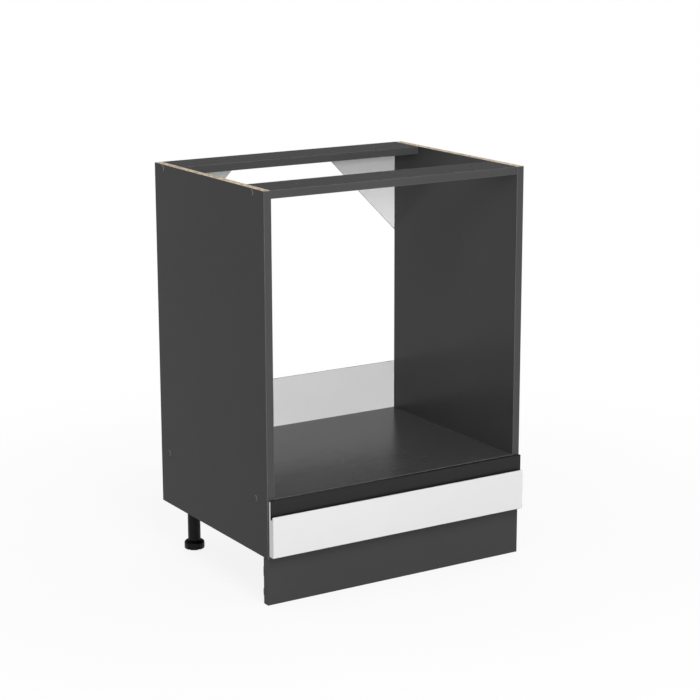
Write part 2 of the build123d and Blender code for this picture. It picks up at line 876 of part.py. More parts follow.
def drawer_side(sign):
    """A side of the drawer box, grooved for the bottom and bored for its fittings."""
    inner = sign * drawer_inner_half
    outer = sign * drawer_half
    with BuildPart() as panel:
        block(across(sign, drawer_inner_half, drawer_half), (front_back_y, drawer_rear_y),
              (drawer_z, drawer_top_z))
        chamfer(panel.edges().filter_by(Axis.Y), drawer_edge_soft)
        block(across(sign, drawer_inner_half, drawer_inner_half + drawer_groove),
              (front_back_y, drawer_rear_y),
              (drawer_bottom_z, drawer_bottom_z + drawer_bottom + drawer_bottom_play), Mode.SUBTRACT)
        cams = [(drawer_cam_y, z) for z in drawer_bolt_heights]
        drill(side_plane(inner), cams, cam_radius + fitting_play,
              sign * (drawer_board - drawer_cam_floor))
        bolts = [(sign * drawer_end_x, z) for z in drawer_bolt_heights]
        drill(front_plane(front_back_y), bolts, bolt_head_radius + fitting_play, -drawer_cam_reach)
        screw_hole = countersunk(drawer_screw_head_radius, drawer_screw_head_depth,
                                 drawer_screw_radius, drawer_board, play=fitting_play)
        for y, z in drawer_screws_at:
            turn(screw_hole, axis_plane((outer, y, z), (-sign, 0, 0)), Mode.SUBTRACT)
        drill(side_plane(outer), drawer_runner_screws_at, runner_screw_radius + fitting_play,
              -sign * runner_screw_length)
    return panel


def drawer_back_board():
    """The back of the drawer box."""
    y_range = (drawer_back_y, drawer_back_y + drawer_board)
    with BuildPart() as panel:
        block((-drawer_inner_half, drawer_inner_half), y_range, (drawer_z, drawer_top_z))
        block((-drawer_inner_half, drawer_inner_half), (drawer_back_y, drawer_back_y + drawer_groove),
              (drawer_bottom_z, drawer_bottom_z + drawer_bottom + drawer_bottom_play), Mode.SUBTRACT)
        for sign in SIDES.values():
            drill(side_plane(sign * drawer_inner_half), drawer_screws_at,
                  drawer_screw_radius + fitting_play, -sign * (drawer_screw_length - drawer_board))
    return panel


def drawer_bottom_sheet():
    """The bottom of the drawer, held in the grooves of all four boards."""
    reach = drawer_groove - drawer_bottom_play
    with BuildPart() as sheet:
        block((-drawer_inner_half - reach, drawer_inner_half + reach),
              (front_back_y - reach, drawer_back_y + reach),
              (drawer_bottom_z, drawer_bottom_z + drawer_bottom))
    return sheet


def drawer_cams():
    """The cam housings in the drawer's sides."""
    with BuildPart() as piece:
        for sign in SIDES.values():
            for z in drawer_bolt_heights:
                face = Plane(origin=(sign * drawer_inner_half, drawer_cam_y, z), x_dir=(0, 1, 0),
                             z_dir=(sign, 0, 0))
                way_in = axis_plane((sign * drawer_end_x, drawer_cam_y, z), (0, -1, 0))
                cam(face, drawer_board - drawer_cam_floor, way_in)
    return piece


def drawer_bolts():
    """The cam bolts between the drawer front and its sides."""
    profile = bolt_profile(drawer_bolt_radius, drawer_cam_reach)
    with BuildPart() as piece:
        for sign in SIDES.values():
            for z in drawer_bolt_heights:
                start = (sign * drawer_end_x, front_back_y - bolt_in_board, z)
                turn(profile, axis_plane(start, (0, 1, 0)))
    return piece


def drawer_screws():
    """The screws through the drawer's sides into its back."""
    profile = countersunk(drawer_screw_head_radius, drawer_screw_head_depth, drawer_screw_radius,
                          drawer_screw_length, tip=drawer_screw_radius)
    with BuildPart() as piece:
        for sign in SIDES.values():
            for y, z in drawer_screws_at:
                turn(profile, axis_plane((sign * drawer_half, y, z), (-sign, 0, 0)))
    return piece


def cabinet_runner(sign):
    """A cabinet member: a channel with a roller track, a tip rail, an end stop and a catch."""
    middle_x = sign * (inner_half - runner_steel / 2)
    edge_x = sign * (drawer_web_x + flange_gap)
    track_middle_z = track_z - runner_steel / 2
    tip_middle_z = tip_z + runner_steel / 2
    stop_x = across(sign, roller_x - roller_width / 2, roller_x + roller_width / 2)
    roller_rise = roller_radius + roller_play - stop_height
    catch_y = (drawer_roller_y - drawer_travel - running_gap
               - sqrt(roller_radius ** 2 - roller_rise ** 2))
    with BuildPart() as member:
        bent_strip([(edge_x, track_middle_z), (middle_x, track_middle_z),
                    (middle_x, tip_middle_z), (edge_x, tip_middle_z)], (runner_y, runner_end_y))
        block(across(sign, 0, web_inner_x), (runner_y, runner_y + runner_tip_setback),
              (carry_z, top_z), Mode.SUBTRACT)
        block(stop_x, (catch_y - runner_steel, catch_y), (track_z, track_z + stop_height))
        block(stop_x, (runner_end_y - runner_steel, runner_end_y),
              (track_z, track_z + roller_radius))
        member_holes(sign, inner_half, -sign, cabinet_roller_y, cabinet_roller_z, side_runner_screws)
    return member


def drawer_runner(sign):
    """A drawer member: a shelf under the drawer's side, a web and a flange for the roller."""
    shelf_x = sign * (drawer_half - runner_shelf)
    middle_x = sign * (drawer_half + runner_steel / 2)
    edge_x = sign * (web_inner_x - flange_gap)
    shelf_middle_z = drawer_z - runner_steel / 2
    carry_middle_z = carry_z + runner_steel / 2
    with BuildPart() as member:
        bent_strip([(shelf_x, shelf_middle_z), (middle_x, shelf_middle_z),
                    (middle_x, carry_middle_z), (edge_x, carry_middle_z)],
                   (drawer_runner_y, drawer_rear_y))
        member_holes(sign, drawer_half, sign, drawer_roller_y, drawer_roller_z,
                     drawer_runner_screws_at)
    return member


def member_holes(sign, seat_x, facing, roller_at_y, roller_at_z, screws):
    """Cuts a member's axle hole and its countersunk screw holes from its roller side."""
    drill(side_plane(sign * seat_x), [(roller_at_y, roller_at_z)], axle_radius + axle_play,
          facing * runner_steel)
    hole = countersunk(runner_screw_head_radius, runner_steel, runner_screw_radius,
                       2 * runner_steel, play=fitting_play)
    for y, z in screws:
        start = (sign * seat_x + facing * runner_steel, y, z)
        turn(hole, axis_plane(start, (-facing, 0, 0)), Mode.SUBTRACT)


def runner_screws(seat_x, outwards, screws):
    """The screws of one pair of members, their heads flush with the steel."""
    profile = countersunk(runner_screw_head_radius, runner_steel, runner_screw_radius,
                          runner_screw_length, tip=runner_screw_radius)
    with BuildPart() as piece:
        for sign in SIDES.values():
            facing = sign * outwards
            for y, z in screws:
                start = (sign * seat_x + facing * runner_steel, y, z)
                turn(profile, axis_plane(start, (-facing, 0, 0)))
    return piece


def roller(sign, y, z):
    """A plastic roller with a shallow groove round its tread."""
    edge = roller_width / 2
    shoulder = roller_groove_width / 2
    bore = axle_radius + axle_play
    profile = [
        (-edge, bore),
        (-edge, roller_radius - roller_groove),
        (roller_groove - edge, roller_radius),
        (-shoulder, roller_radius),
        (0, roller_radius - roller_groove),
        (shoulder, roller_radius),
        (edge - roller_groove, roller_radius),
        (edge, roller_radius - roller_groove),
        (edge, bore),
    ]
    with BuildPart() as wheel:
        turn(profile, axis_plane((sign * roller_x, y, z), (1, 0, 0)))
    return wheel


def axles(seat_x, outwards, y, z):
    """The riveted axles of one pair of rollers, each with a shoulder and a head."""
    web = runner_steel
    near = abs(roller_x - seat_x) - roller_width / 2 - roller_play
    far = abs(roller_x - seat_x) + roller_width / 2 + roller_play
    profile = [
        (0, 0),
        (0, axle_radius),
        (web, axle_radius),
        (web, axle_head_radius),
        (near, axle_head_radius),
        (near, axle_radius),
        (far, axle_radius),
        (far, axle_head_radius),
        (far + axle_head, axle_head_radius),
        (far + axle_head, 0),
    ]
    with BuildPart() as piece:
        for sign in SIDES.values():
            turn(profile, axis_plane((sign * seat_x, y, z), (sign * outwards, 0, 0)))
    return piece


os.makedirs("parts", exist_ok=True)

for side, sign in SIDES.items():
    save(side_panel(sign), f"{side}_side")
    save(edge_band(across(sign, inner_half, half_width), front_y, (base_z, top_z), Axis.Z),
         f"{side}_side_edging")
    save(gusset(sign), f"{side}_gusset")
    save(drawer_side(sign), f"drawer_{side}_side")
    save(cabinet_runner(sign), f"{side}_cabinet_runner")
    save(drawer_runner(sign), f"{side}_drawer_runner")
    save(roller(sign, cabinet_roller_y, cabinet_roller_z), f"{side}_cabinet_roller")
    save(roller(sign, drawer_roller_y, drawer_roller_z), f"{side}_drawer_roller")

board_width = (-inner_half, inner_half)
save(base_board(), "bottom_panel")
save(edge_band(board_width, front_y, (base_z, base_z + board), Axis.X), "bottom_edging")
save(shelf_board(), "oven_shelf")
save(edge_band(board_width, front_y, (shelf_z, shelf_top_z), Axis.X), "shelf_edging")
save(rail(front_rail_y, front_rail_screws, front_rail_dowels, []), "front_rail")
save(edge_band(board_width, front_rail_y, (rail_z, top_z), Axis.X), "front_rail_edging")
save(rail(rear_rail_y, rear_rail_screws, rear_rail_dowels, rear_rail_pins), "rear_rail")
save(edge_band(board_width, rear_rail_y, (rail_z, top_z), Axis.X), "rear_rail_edging")
save(low_back(), "lower_back")
save(long_screws(), "confirmat_screws")
save(caps(), "screw_caps")
save(wooden_dowels(), "dowels")
save(carcass_cams(), "cam_housings")
save(carcass_bolts(), "cam_bolts")
save(back_pins(), "hardboard_pins")

for place, (leg_at_x, leg_at_y) in LEGS.items():
    save(leg_socket(leg_at_x, leg_at_y), f"leg_socket_{place}")
    save(leg_tube(leg_at_x, leg_at_y), f"leg_tube_{place}")
    save(foot(leg_at_x, leg_at_y), f"foot_{place}")
save(socket_screws(), "leg_socket_screws")

save(plinth(), "plinth_board")
save(clips(), "plinth_clips")
save(clip_screws(), "plinth_clip_screws")

save(grip_front(), "drawer_front")
save(recess_liner(), "grip_liner")
save(bumpers(), "bumper_pads")
save(drawer_back_board(), "drawer_back")
save(drawer_bottom_sheet(), "drawer_bottom")
save(drawer_cams(), "drawer_cam_housings")
save(drawer_bolts(), "drawer_cam_bolts")
save(drawer_screws(), "drawer_screws")

save(axles(inner_half, -1, cabinet_roller_y, cabinet_roller_z), "cabinet_roller_axles")
save(runner_screws(inner_half, -1, side_runner_screws), "cabinet_runner_screws")
save(axles(drawer_half, 1, drawer_roller_y, drawer_roller_z), "drawer_roller_axles")
save(runner_screws(drawer_half, 1, drawer_runner_screws_at), "drawer_runner_screws")
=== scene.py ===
import json
from math import cos, pi, radians, sin

import bmesh
import bpy
from mathutils import Matrix, Vector


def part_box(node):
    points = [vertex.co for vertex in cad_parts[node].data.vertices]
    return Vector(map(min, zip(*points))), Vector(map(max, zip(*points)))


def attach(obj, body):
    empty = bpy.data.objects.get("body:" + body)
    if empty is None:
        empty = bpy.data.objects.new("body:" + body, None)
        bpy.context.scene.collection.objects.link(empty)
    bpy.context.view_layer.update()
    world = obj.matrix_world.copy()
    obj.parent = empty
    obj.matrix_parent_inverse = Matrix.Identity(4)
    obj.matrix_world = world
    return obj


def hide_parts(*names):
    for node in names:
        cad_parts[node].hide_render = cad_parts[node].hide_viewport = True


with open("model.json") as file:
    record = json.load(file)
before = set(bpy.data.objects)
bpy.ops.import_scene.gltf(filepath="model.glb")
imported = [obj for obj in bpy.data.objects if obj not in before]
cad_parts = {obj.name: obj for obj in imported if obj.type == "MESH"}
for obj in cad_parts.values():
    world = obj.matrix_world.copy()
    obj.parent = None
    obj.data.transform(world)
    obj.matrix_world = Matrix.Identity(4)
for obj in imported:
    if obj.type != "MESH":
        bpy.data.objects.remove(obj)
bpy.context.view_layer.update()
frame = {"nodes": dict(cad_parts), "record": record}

# Oven housing cabinet: finishes of the boards, edgings, hardboard, white front, fittings and
# legs, the threads and driver recesses of its fasteners, and its notched feet. Lengths are in
# metres, and in millimetres in the materials and their node groups.

NODES = frame["nodes"]
BODY_OF = {node: body for body, nodes in frame["record"]["behaviour"]["bodies"].items() for node in nodes}
SLOT_OF = {row["node"]: row["material_slot"] for row in frame["record"]["subparts"]}

X_AXIS = Vector((1, 0, 0))
Y_AXIS = Vector((0, 1, 0))
Z_AXIS = Vector((0, 0, 1))
millimetre = 0.001

# Camera
camera_place = (-2.1198, -3.4455, 1.4012)
camera_turn = -0.5564
camera_tip = 0.2354
camera_roll = -0.0024
camera_lens = 103.64
sensor_width = 36.0

# Light, where 1 shows a colour as it is written
low_room_light = 0.22
high_room_light = 0.26
right_room_light = 0.50
back_room_light = 1.0
horizon_white_to = 0.0
upper_grey_from = 0.11
upper_grey = 0.14
floor_tone = 0.86
floor_bounce_tone = 0.45
near_shadow_share = 0.13
shadow_from = 0.45
shadow_to = 1.6
lamp_target = (0.0, 0.0, 0.45)
SOFTBOXES = {
    "high_softbox": {"place": (-0.65, -3.05, 3.26), "size": 2.0, "power": 66.0},
    "front_softbox": {"place": (-0.45, -4.28, 1.36), "size": 1.6, "power": 79.0},
    "left_softbox": {"place": (-3.51, -2.03, 1.54), "size": 1.6, "power": 23.0},
}


# Node building
def put(tree, kind, inputs=None, **settings):
    """Adds a shader node. An input is a value or another node's output socket."""
    node = tree.nodes.new("ShaderNode" + kind)
    for name, value in settings.items():
        setattr(node, name, value)
    for name, value in (inputs or {}).items():
        feed(tree, node.inputs[name], value)
    return node


def feed(tree, socket, value):
    """Sets a socket to a value, or links an output to it."""
    if isinstance(value, bpy.types.NodeSocket):
        tree.links.new(value, socket)
    else:
        socket.default_value = value


def maths(tree, operation, first, second=None, clamp=False):
    """The output of a Math node."""
    node = put(tree, "Math", {0: first}, operation=operation, use_clamp=clamp)
    if second is not None:
        feed(tree, node.inputs[1], second)
    return node.outputs[0]


def scaled(tree, vector, factor):
    """A vector multiplied by a number or by a vector."""
    if isinstance(factor, (tuple, list)):
        node = put(tree, "VectorMath", {0: vector, 1: factor}, operation="MULTIPLY")
    else:
        node = put(tree, "VectorMath", {0: vector, "Scale": factor}, operation="SCALE")
    return node.outputs[0]


def between(tree, share, first, second):
    """The value output of a Mix node between two values."""
    return put(tree, "Mix", {"Factor": share, "A": first, "B": second}).outputs[0]


# Where a Mix node keeps its two colours and the colour that it puts out
mix_first = 6
mix_second = 7
mix_result = 2


def blended(tree, share, first, second):
    """The colour output of a Mix node between two colours."""
    node = put(tree, "Mix", {"Factor": share, mix_first: first, mix_second: second}, data_type="RGBA")
    return node.outputs[mix_result]


def ranged(tree, value, low, high, to_low=0.0, to_high=1.0, smooth=False):
    """A value moved from one range to another and clamped."""
    node = put(tree, "MapRange", {"Value": value, "From Min": low, "From Max": high,
                                  "To Min": to_low, "To Max": to_high},
               interpolation_type="SMOOTHSTEP" if smooth else "LINEAR")
    return node.outputs[0]


def noise(tree, place, scale, detail=2.0, roughness=0.5, distortion=0.0):
    """The value output of a Noise Texture node."""
    node = put(tree, "TexNoise", {"Vector": place, "Scale": scale, "Detail": detail,
                                  "Roughness": roughness, "Distortion": distortion})
    return node.outputs["Fac"]


def object_place(tree):
    """Where a point lies on its piece, in millimetres."""
    place = put(tree, "TexCoord").outputs["Object"]
    return scaled(tree, place, 1.0 / millimetre)


def metres(tree, length):
    """A length in millimetres, as metres."""
    return maths(tree, "MULTIPLY", length, millimetre)


def turned_place(tree):
    """The same place turned off the piece's own axes, for noise without a direction."""
    return put(tree, "VectorRotate", {"Vector": object_place(tree), "Rotation": (0.5, 0.8, 0.3)},
               rotation_type="EULER_XYZ").outputs[0]


def facing(tree, way):
    """How far a face looks along a way: 1 straight along it, -1 straight against it."""
    looks = put(tree, "TexCoord").outputs["Normal"]
    return put(tree, "VectorMath", {0: looks, 1: way}, operation="DOT_PRODUCT").outputs["Value"]


# Ways that faces look, for the finishes that differ from face to face
sideways = (1.0, 0.0, 0.0)
frontwards = (0.0, -1.0, 0.0)
upwards = (0.0, 0.0, 1.0)

SOCKETS = {"value": "NodeSocketFloat", "colour": "NodeSocketColor", "vector": "NodeSocketVector"}


def new_group(name, inputs, outputs):
    """A shader node group with its inputs as name: (kind, default) and its outputs as name: kind."""
    tree = bpy.data.node_groups.new(name, "ShaderNodeTree")
    for socket, (kind, default) in inputs.items():
        made = tree.interface.new_socket(name=socket, in_out="INPUT", socket_type=SOCKETS[kind])
        made.default_value = default
    for socket, kind in outputs.items():
        tree.interface.new_socket(name=socket, in_out="OUTPUT", socket_type=SOCKETS[kind])
    return tree, tree.nodes.new("NodeGroupInput"), tree.nodes.new("NodeGroupOutput")


def use(tree, group, **inputs):
    """Places a node group. An input's name has _ for each space."""
    node = tree.nodes.new("ShaderNodeGroup")
    node.node_tree = group
    for name, value in inputs.items():
        feed(tree, node.inputs[name.replace("_", " ")], value)
    return node


# Node groups for the effects that the finishes share
bevel_samples = 4


def surface_finish_group():
    """Turns a height into a normal, with the edges of the piece slightly eased."""
    tree, given, out = new_group(
        "surface_finish",
        {"Height": ("value", 0.0), "Depth mm": ("value", 0.05), "Eased edge mm": ("value", 0.4)},
        {"Normal": "vector"})
    edge = put(tree, "Bevel", {"Radius": metres(tree, given.outputs["Eased edge mm"])}, samples=bevel_samples)
    bump = put(tree, "Bump", {"Height": given.outputs["Height"],
                              "Distance": metres(tree, given.outputs["Depth mm"]),
                              "Normal": edge.outputs[0]})
    feed(tree, out.inputs["Normal"], bump.outputs[0])
    return tree


def edge_rub_group():
    """Masks the edges of a piece: Corner all along them, and Mask in the patches that handling rubs."""
    tree, given, out = new_group(
        "edge_rub",
        {"Width mm": ("value", 0.8), "Amount": ("value", 0.5)},
        {"Mask": "value", "Corner": "value"})
    edge = put(tree, "Bevel", {"Radius": metres(tree, given.outputs["Width mm"])}, samples=bevel_samples)
    flat = put(tree, "NewGeometry").outputs["Normal"]
    turn = put(tree, "VectorMath", {0: edge.outputs[0], 1: flat}, operation="DOT_PRODUCT")
    bend = ranged(tree, turn.outputs["Value"], 0.995, 0.80)
    place = turned_place(tree)
    patches = ranged(tree, noise(tree, place, 0.045, detail=4.0, roughness=0.6), 0.38, 0.62)
    fine = ranged(tree, noise(tree, place, 1.3), 0.25, 0.75, 0.4, 1.0)
    broken = maths(tree, "MULTIPLY", maths(tree, "MULTIPLY", patches, fine), given.outputs["Amount"])
    feed(tree, out.inputs["Mask"], maths(tree, "MULTIPLY", bend, broken, clamp=True))
    # Corner is used for a painted highlight along the edging's corners.
    feed(tree, out.inputs["Corner"], bend)
    return tree


def tone_drift_group():
    """Varies a colour a little, broadly over the piece and finely from point to point."""
    tree, given, out = new_group(
        "tone_drift",
        {"Colour": ("colour", (0.5, 0.5, 0.5, 1.0)), "Broad": ("value", 0.05), "Fine": ("value", 0.03)},
        {"Colour": "colour"})
    place = turned_place(tree)
    broad = ranged(tree, noise(tree, place, 0.006, detail=3.0), 0.3, 0.7, -1.0, 1.0)
    fine = ranged(tree, noise(tree, place, 0.9), 0.3, 0.7, -1.0, 1.0)
    shift = maths(tree, "ADD", maths(tree, "MULTIPLY", broad, given.outputs["Broad"]),
                  maths(tree, "MULTIPLY", fine, given.outputs["Fine"]))
    level = maths(tree, "ADD", shift, 1.0)
    feed(tree, out.inputs["Colour"], scaled(tree, given.outputs["Colour"], level))
    return tree


def pearl_face_group():
    """The fine pearled face that the press leaves on melamine and on its edging."""
    tree, given, out = new_group(
        "pearl_face",
        {"Grain mm": ("value", 0.6), "Sheen spread": ("value", 0.02), "Roughness": ("value", 0.4)},
        {"Height": "value", "Roughness": "value"})
    place = turned_place(tree)
    pitch = maths(tree, "DIVIDE", 1.0, given.outputs["Grain mm"])
    pearls = put(tree, "TexVoronoi", {"Vector": place, "Scale": pitch, "Smoothness": 0.7},
                 feature="SMOOTH_F1").outputs["Distance"]
    haze = noise(tree, place, 0.012, detail=3.0)
    feed(tree, out.inputs["Height"], pearls)
    spread = maths(tree, "MULTIPLY", ranged(tree, haze, 0.3, 0.7, -1.0, 1.0), given.outputs["Sheen spread"])
    feed(tree, out.inputs["Roughness"], maths(tree, "ADD", spread, given.outputs["Roughness"], clamp=True))
    return tree


def sawn_faces_group():
    """Masks a board's raw faces, which don't look along Broad, and among them its drilled walls.

    Across runs from 0 in the middle of the board to 1 at its two broad faces.
    """
    tree, given, out = new_group(
        "sawn_faces",
        {"Broad": ("vector", (1.0, 0.0, 0.0))},
        {"Mask": "value", "Across": "value", "Drilled": "value"})
    sawn = maths(tree, "LESS_THAN", maths(tree, "ABSOLUTE", facing(tree, given.outputs["Broad"])), 0.5)
    coordinates = put(tree, "TexCoord").outputs
    through = put(tree, "VectorMath", {0: coordinates["Generated"], 1: given.outputs["Broad"]},
                  operation="DOT_PRODUCT").outputs["Value"]
    middle = maths(tree, "ABSOLUTE", maths(tree, "SUBTRACT", through, 0.5))
    looks = put(tree, "VectorMath", {0: coordinates["Normal"]}, operation="ABSOLUTE").outputs[0]
    sides = put(tree, "SeparateXYZ", {"Vector": looks}).outputs
    squarest = maths(tree, "MAXIMUM", maths(tree, "MAXIMUM", sides["X"], sides["Y"]), sides["Z"])
    feed(tree, out.inputs["Mask"], sawn)
    feed(tree, out.inputs["Across"], maths(tree, "MULTIPLY", middle, 2.0))
    feed(tree, out.inputs["Drilled"], maths(tree, "LESS_THAN", squarest, 0.995))
    return tree


def chipboard_core_group():
    """Raw chipboard: coarse chips in the middle, fine ones and a resin line at the faces."""
    tree, given, out = new_group(
        "chipboard_core",
        {"Across": ("value", 0.0), "Pale": ("colour", (0.86, 0.74, 0.58, 1.0)),
         "Dark": ("colour", (0.28, 0.20, 0.13, 1.0)), "Line": ("colour", (0.05, 0.045, 0.04, 1.0))},
        {"Colour": "colour", "Height": "value"})
    place = object_place(tree)
    wander = put(tree, "TexNoise", {"Vector": place, "Scale": 0.35, "Detail": 2.0}).outputs["Color"]
    bent = put(tree, "VectorMath", {0: place, 1: scaled(tree, wander, 1.6)}, operation="ADD").outputs[0]
    coarse = put(tree, "TexVoronoi", {"Vector": scaled(tree, bent, (0.28, 0.28, 0.6)), "Scale": 1.0},
                 feature="F1")
    fine = put(tree, "TexVoronoi", {"Vector": bent, "Scale": 1.7}, feature="F1")
    near_face = ranged(tree, given.outputs["Across"], 0.45, 0.75)
    chip = put(tree, "SeparateColor", {"Color": blended(tree, near_face, coarse.outputs["Color"],
                                                        fine.outputs["Color"])}).outputs[0]
    pores = ranged(tree, noise(tree, place, 1.1, detail=4.0, roughness=0.65), 0.36, 0.46)
    shade = maths(tree, "MULTIPLY", ranged(tree, chip, 0.15, 0.75, 0.1, 1.0), pores)
    wood = blended(tree, shade, given.outputs["Dark"], given.outputs["Pale"])
    line = maths(tree, "GREATER_THAN", given.outputs["Across"], 0.975)
    feed(tree, out.inputs["Colour"], blended(tree, line, wood, given.outputs["Line"]))
    feed(tree, out.inputs["Height"], maths(tree, "ADD", maths(tree, "MULTIPLY", chip, 0.5),
                                           maths(tree, "MULTIPLY", pores, 0.5)))
    return tree


def settled_dust_group():
    """Masks a thin veil of workshop dust on faces that look up."""
    tree, given, out = new_group("settled_dust", {"Amount": ("value", 0.1)}, {"Mask": "value"})
    level = ranged(tree, facing(tree, upwards), 0.7, 1.0)
    place = turned_place(tree)
    clouds = ranged(tree, noise(tree, place, 0.012, detail=4.0, roughness=0.6), 0.3, 0.75)
    specks = ranged(tree, noise(tree, place, 0.3), 0.58, 0.72, 0.0, 0.35)
    veil = maths(tree, "MULTIPLY", clouds, maths(tree, "ADD", 0.65, specks))
    veil = maths(tree, "MULTIPLY", maths(tree, "MULTIPLY", veil, level), given.outputs["Amount"], clamp=True)
    feed(tree, out.inputs["Mask"], veil)
    return tree


def mould_grain_group():
    """The fine spark-eroded grain of moulded plastic, with faint flow marks."""
    tree, given, out = new_group(
        "mould_grain",
        {"Grain mm": ("value", 0.25), "Roughness": ("value", 0.45)},
        {"Height": "value", "Roughness": "value"})
    place = turned_place(tree)
    pitch = maths(tree, "DIVIDE", 1.0, given.outputs["Grain mm"])
    grain = noise(tree, place, pitch, roughness=0.6)
    flow = noise(tree, scaled(tree, place, (1.0, 1.0, 0.25)), 0.12, distortion=1.0)
    feed(tree, out.inputs["Height"], maths(tree, "ADD", grain, maths(tree, "MULTIPLY", flow, 0.6)))
    gloss = maths(tree, "ADD", ranged(tree, flow, 0.3, 0.7, -0.06, 0.06), given.outputs["Roughness"])
    feed(tree, out.inputs["Roughness"], gloss)
    return tree


def zinc_skin_group():
    """The cloudy, slightly spangled skin of zinc, with fine drawing marks."""
    tree, given, out = new_group(
        "zinc_skin",
        {"Colour": ("colour", (0.6, 0.6, 0.6, 1.0)), "Roughness": ("value", 0.3),
         "Spangle mm": ("value", 1.5)},
        {"Colour": "colour", "Roughness": "value", "Height": "value"})
    place = object_place(tree)
    pitch = maths(tree, "DIVIDE", 1.0, given.outputs["Spangle mm"])
    spangle = put(tree, "TexVoronoi", {"Vector": place, "Scale": pitch}, feature="F1").outputs["Color"]
    cell = put(tree, "SeparateColor", {"Color": spangle}).outputs[0]
    cloud = noise(tree, place, 0.35, detail=3.0)
    marks = noise(tree, scaled(tree, place, (6.0, 0.25, 6.0)), 1.0)
    mixed = maths(tree, "ADD", maths(tree, "MULTIPLY", cell, 0.35), cloud)
    feed(tree, out.inputs["Colour"],
         scaled(tree, given.outputs["Colour"], ranged(tree, mixed, 0.3, 1.0, 0.82, 1.08)))
    feed(tree, out.inputs["Roughness"],
         maths(tree, "ADD", ranged(tree, mixed, 0.3, 1.0, -0.08, 0.08), given.outputs["Roughness"]))
    feed(tree, out.inputs["Height"], marks)
    return tree


GROUPS = {
    "finish": surface_finish_group(),
    "rub": edge_rub_group(),
    "drift": tone_drift_group(),
    "pearl": pearl_face_group(),
    "sawn": sawn_faces_group(),
    "chips": chipboard_core_group(),
    "dust": settled_dust_group(),
    "mould": mould_grain_group(),
    "zinc": zinc_skin_group(),
}

# Colours of the finishes, as linear values
anthracite = (0.054, 0.054, 0.055, 1.0)
anthracite_rubbed = (0.075, 0.075, 0.077, 1.0)
edging_grey = (0.062, 0.062, 0.063, 1.0)
edging_corner_highlight = (0.21, 0.21, 0.213, 1.0)
edging_rubbed_and_highlight = (0.26, 0.26, 0.263, 1.0)
dust_colour = (0.42, 0.40, 0.37, 1.0)
front_white = (0.74, 0.74, 0.745, 1.0)
front_rubbed = (0.82, 0.82, 0.82, 1.0)
liner_black = (0.011, 0.011, 0.011, 1.0)
liner_rubbed = (0.05, 0.05, 0.05, 1.0)
hardboard_white = (0.91, 0.91, 0.915, 1.0)
hardboard_brown = (0.20, 0.115, 0.062, 1.0)
hardboard_pale = (0.36, 0.23, 0.14, 1.0)
leg_black = (0.004, 0.004, 0.004, 1.0)
leg_rubbed = (0.035, 0.035, 0.035, 1.0)
cap_grey = (0.050, 0.050, 0.051, 1.0)
cap_rim_highlight = (0.26, 0.26, 0.265, 1.0)
zinc_bright = (0.66, 0.67, 0.69, 1.0)
zinc_cast = (0.46, 0.465, 0.48, 1.0)
beech_pale = (0.62, 0.43, 0.27, 1.0)
beech_dark = (0.42, 0.25, 0.14, 1.0)
enamel_white = (0.74, 0.74, 0.73, 1.0)
roller_white = (0.78, 0.77, 0.73, 1.0)
pad_clear = (0.55, 0.56, 0.57, 1.0)


def new_material(name):
    """A material with its Principled shader, ready for its own nodes."""
    material = bpy.data.materials.new(name)
    material.use_nodes = True
    tree = material.node_tree
    return material, tree, tree.nodes["Principled BSDF"]


def apply_finish(tree, shader, colour, roughness, height, depth, eased_edge, specular=0.5):
    """Feeds a finish's colour, roughness and relief into its shader. Depth and edge are in millimetres."""
    relief = use(tree, GROUPS["finish"], Height=height, Depth_mm=depth, Eased_edge_mm=eased_edge)
    feed(tree, shader.inputs["Base Color"], colour)
    feed(tree, shader.inputs["Roughness"], roughness)
    feed(tree, shader.inputs["Normal"], relief.outputs["Normal"])
    shader.inputs["Specular IOR Level"].default_value = specular


# The boards' pressed face and their raw chipboard, with depths in millimetres
pearl_depth = 0.003
chip_depth = 0.12
raw_roughness = 0.85
# Share that drilled walls are darkened to: painted shade in the holes.
drilled_painted_shade = 0.25


def board_material(name, sheen=0.06, broad=None):
    """A melamine-faced board. Faces that don't look along broad are raw chipboard, if broad is given."""
    material, tree, shader = new_material(name)
    pearl = use(tree, GROUPS["pearl"], Grain_mm=0.7, Roughness=0.24, Sheen_spread=0.01)
    rub = use(tree, GROUPS["rub"], Width_mm=0.7, Amount=0.35)
    dust = use(tree, GROUPS["dust"], Amount=0.02)
    tone = use(tree, GROUPS["drift"], Colour=anthracite, Broad=0.03, Fine=0.004)
    colour = blended(tree, rub.outputs["Mask"], tone.outputs["Colour"], anthracite_rubbed)
    colour = blended(tree, dust.outputs["Mask"], colour, dust_colour)
    height = pearl.outputs["Height"]
    roughness = pearl.outputs["Roughness"]
    if broad:
        sawn = use(tree, GROUPS["sawn"], Broad=broad)
        mask = sawn.outputs["Mask"]
        chips = use(tree, GROUPS["chips"], Across=sawn.outputs["Across"])
        # Drilled walls are painted darker, as painted shade in the holes.
        drilled_shaded = scaled(tree, chips.outputs["Colour"], drilled_painted_shade)
        raw = blended(tree, sawn.outputs["Drilled"], chips.outputs["Colour"], drilled_shaded)
        colour = blended(tree, mask, colour, raw)
        chip_height = maths(tree, "MULTIPLY", chips.outputs["Height"], chip_depth / pearl_depth)
        height = between(tree, mask, height, chip_height)
        roughness = between(tree, mask, roughness, raw_roughness)
    apply_finish(tree, shader, colour, roughness, height, pearl_depth, eased_edge=0.3, specular=sheen)
    return material


